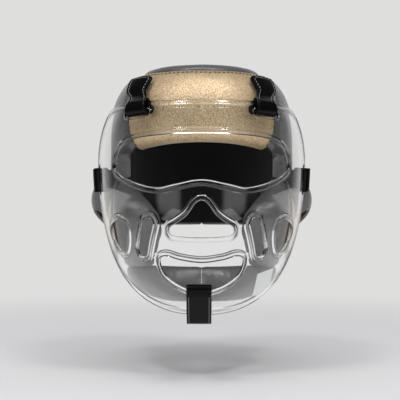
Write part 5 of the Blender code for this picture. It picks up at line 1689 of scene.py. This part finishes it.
world = bpy.data.worlds.new("studio")
scene.world = world
world.use_nodes = True
tree = world.node_tree
background = tree.nodes["Background"]
path_kind = node(tree, "ShaderNodeLightPath")
direction = node(tree, "ShaderNodeTexCoord").outputs["Generated"]
heading = node(tree, "ShaderNodeSeparateXYZ", {"Vector": direction})
behind = ramp(tree, heading.outputs["Y"], 0.45, 0.9)
low = ramp(tree, heading.outputs["Z"], 0.75, 0.3)
lit_walls = colour_mix(tree, arithmetic(tree, "MULTIPLY", behind, low), (0.03, 0.03, 0.03, 1), BACKDROP)
mirrored_once = arithmetic(tree, "MINIMUM", path_kind.outputs["Glossy Depth"], 1.0)
straight, bent = path_kind.outputs["Is Camera Ray"], path_kind.outputs["Is Transmission Ray"]
seen = arithmetic(tree, "MAXIMUM", straight, bent)
plain = colour_mix(tree, seen, (0.5, 0.5, 0.51, 1), BACKDROP)
tree.links.new(colour_mix(tree, mirrored_once, plain, lit_walls), background.inputs["Color"])

for name, spot, aim, size, glow, even_share, through_shield in (
    ("left box", (0.93, -1.11, 0.36), FACE, (1.0, 1.5), 1.4, 0.25, False),
    ("right box", (-0.93, -1.11, 0.36), FACE, (1.0, 1.5), 1.4, 0.25, False),
    ("left key", (0.48, -0.6, 1.33), FACE, (0.4, 0.4), 22, 0.1, True),
    ("right key", (-0.48, -0.6, 1.33), FACE, (0.4, 0.4), 22, 0.1, True),
    ("top strip", (0, -0.6, 1.4), FACE, (1.4, 0.14), 1.2, 0.3, True),
    ("top box", (0, -0.35, 1.5), FACE, (1.6, 1.6), 1.3, 0.2, True),
    ("floor card", (0, -0.72, -0.2), (0, -0.5, 0.5), (1.8, 0.9), 1.8, 0.42, False),
):
    lamp = bpy.data.lights.new(name, "AREA")
    lamp.shape = "RECTANGLE"
    lamp.size, lamp.size_y = size
    lamp.energy = glow * math.pi * size[0] * size[1]
    lamp.use_nodes = True
    tree = lamp.node_tree
    place = node(tree, "ShaderNodeNewGeometry").outputs["Parametric"]
    across = node(tree, "ShaderNodeSeparateXYZ", {"Vector": place})
    soft = 1.0
    for axis in ("X", "Y"):
        off_middle = arithmetic(tree, "ABSOLUTE", arithmetic(tree, "SUBTRACT", across.outputs[axis], 0.5))
        soft = arithmetic(tree, "MULTIPLY", soft, ramp(tree, off_middle, 0.5, even_share))
    tree.links.new(soft, tree.nodes["Emission"].inputs["Strength"])
    box = bpy.data.objects.new(name, lamp)
    box.location = spot
    box.rotation_euler = (Vector(aim) - Vector(spot)).to_track_quat("-Z", "Y").to_euler()
    box.visible_camera = False
    box.visible_transmission = through_shield
    scene.collection.objects.link(box)

camera_data = bpy.data.cameras.new("camera")
camera_data.lens = 96.4
camera_data.sensor_width = 36
camera_data.shift_x = -0.004
camera = bpy.data.objects.new("camera", camera_data)
camera.location = (0, -1.132, -0.0343)
camera.rotation_euler = (math.pi / 2, 0, 0)
scene.collection.objects.link(camera)
scene.camera = camera
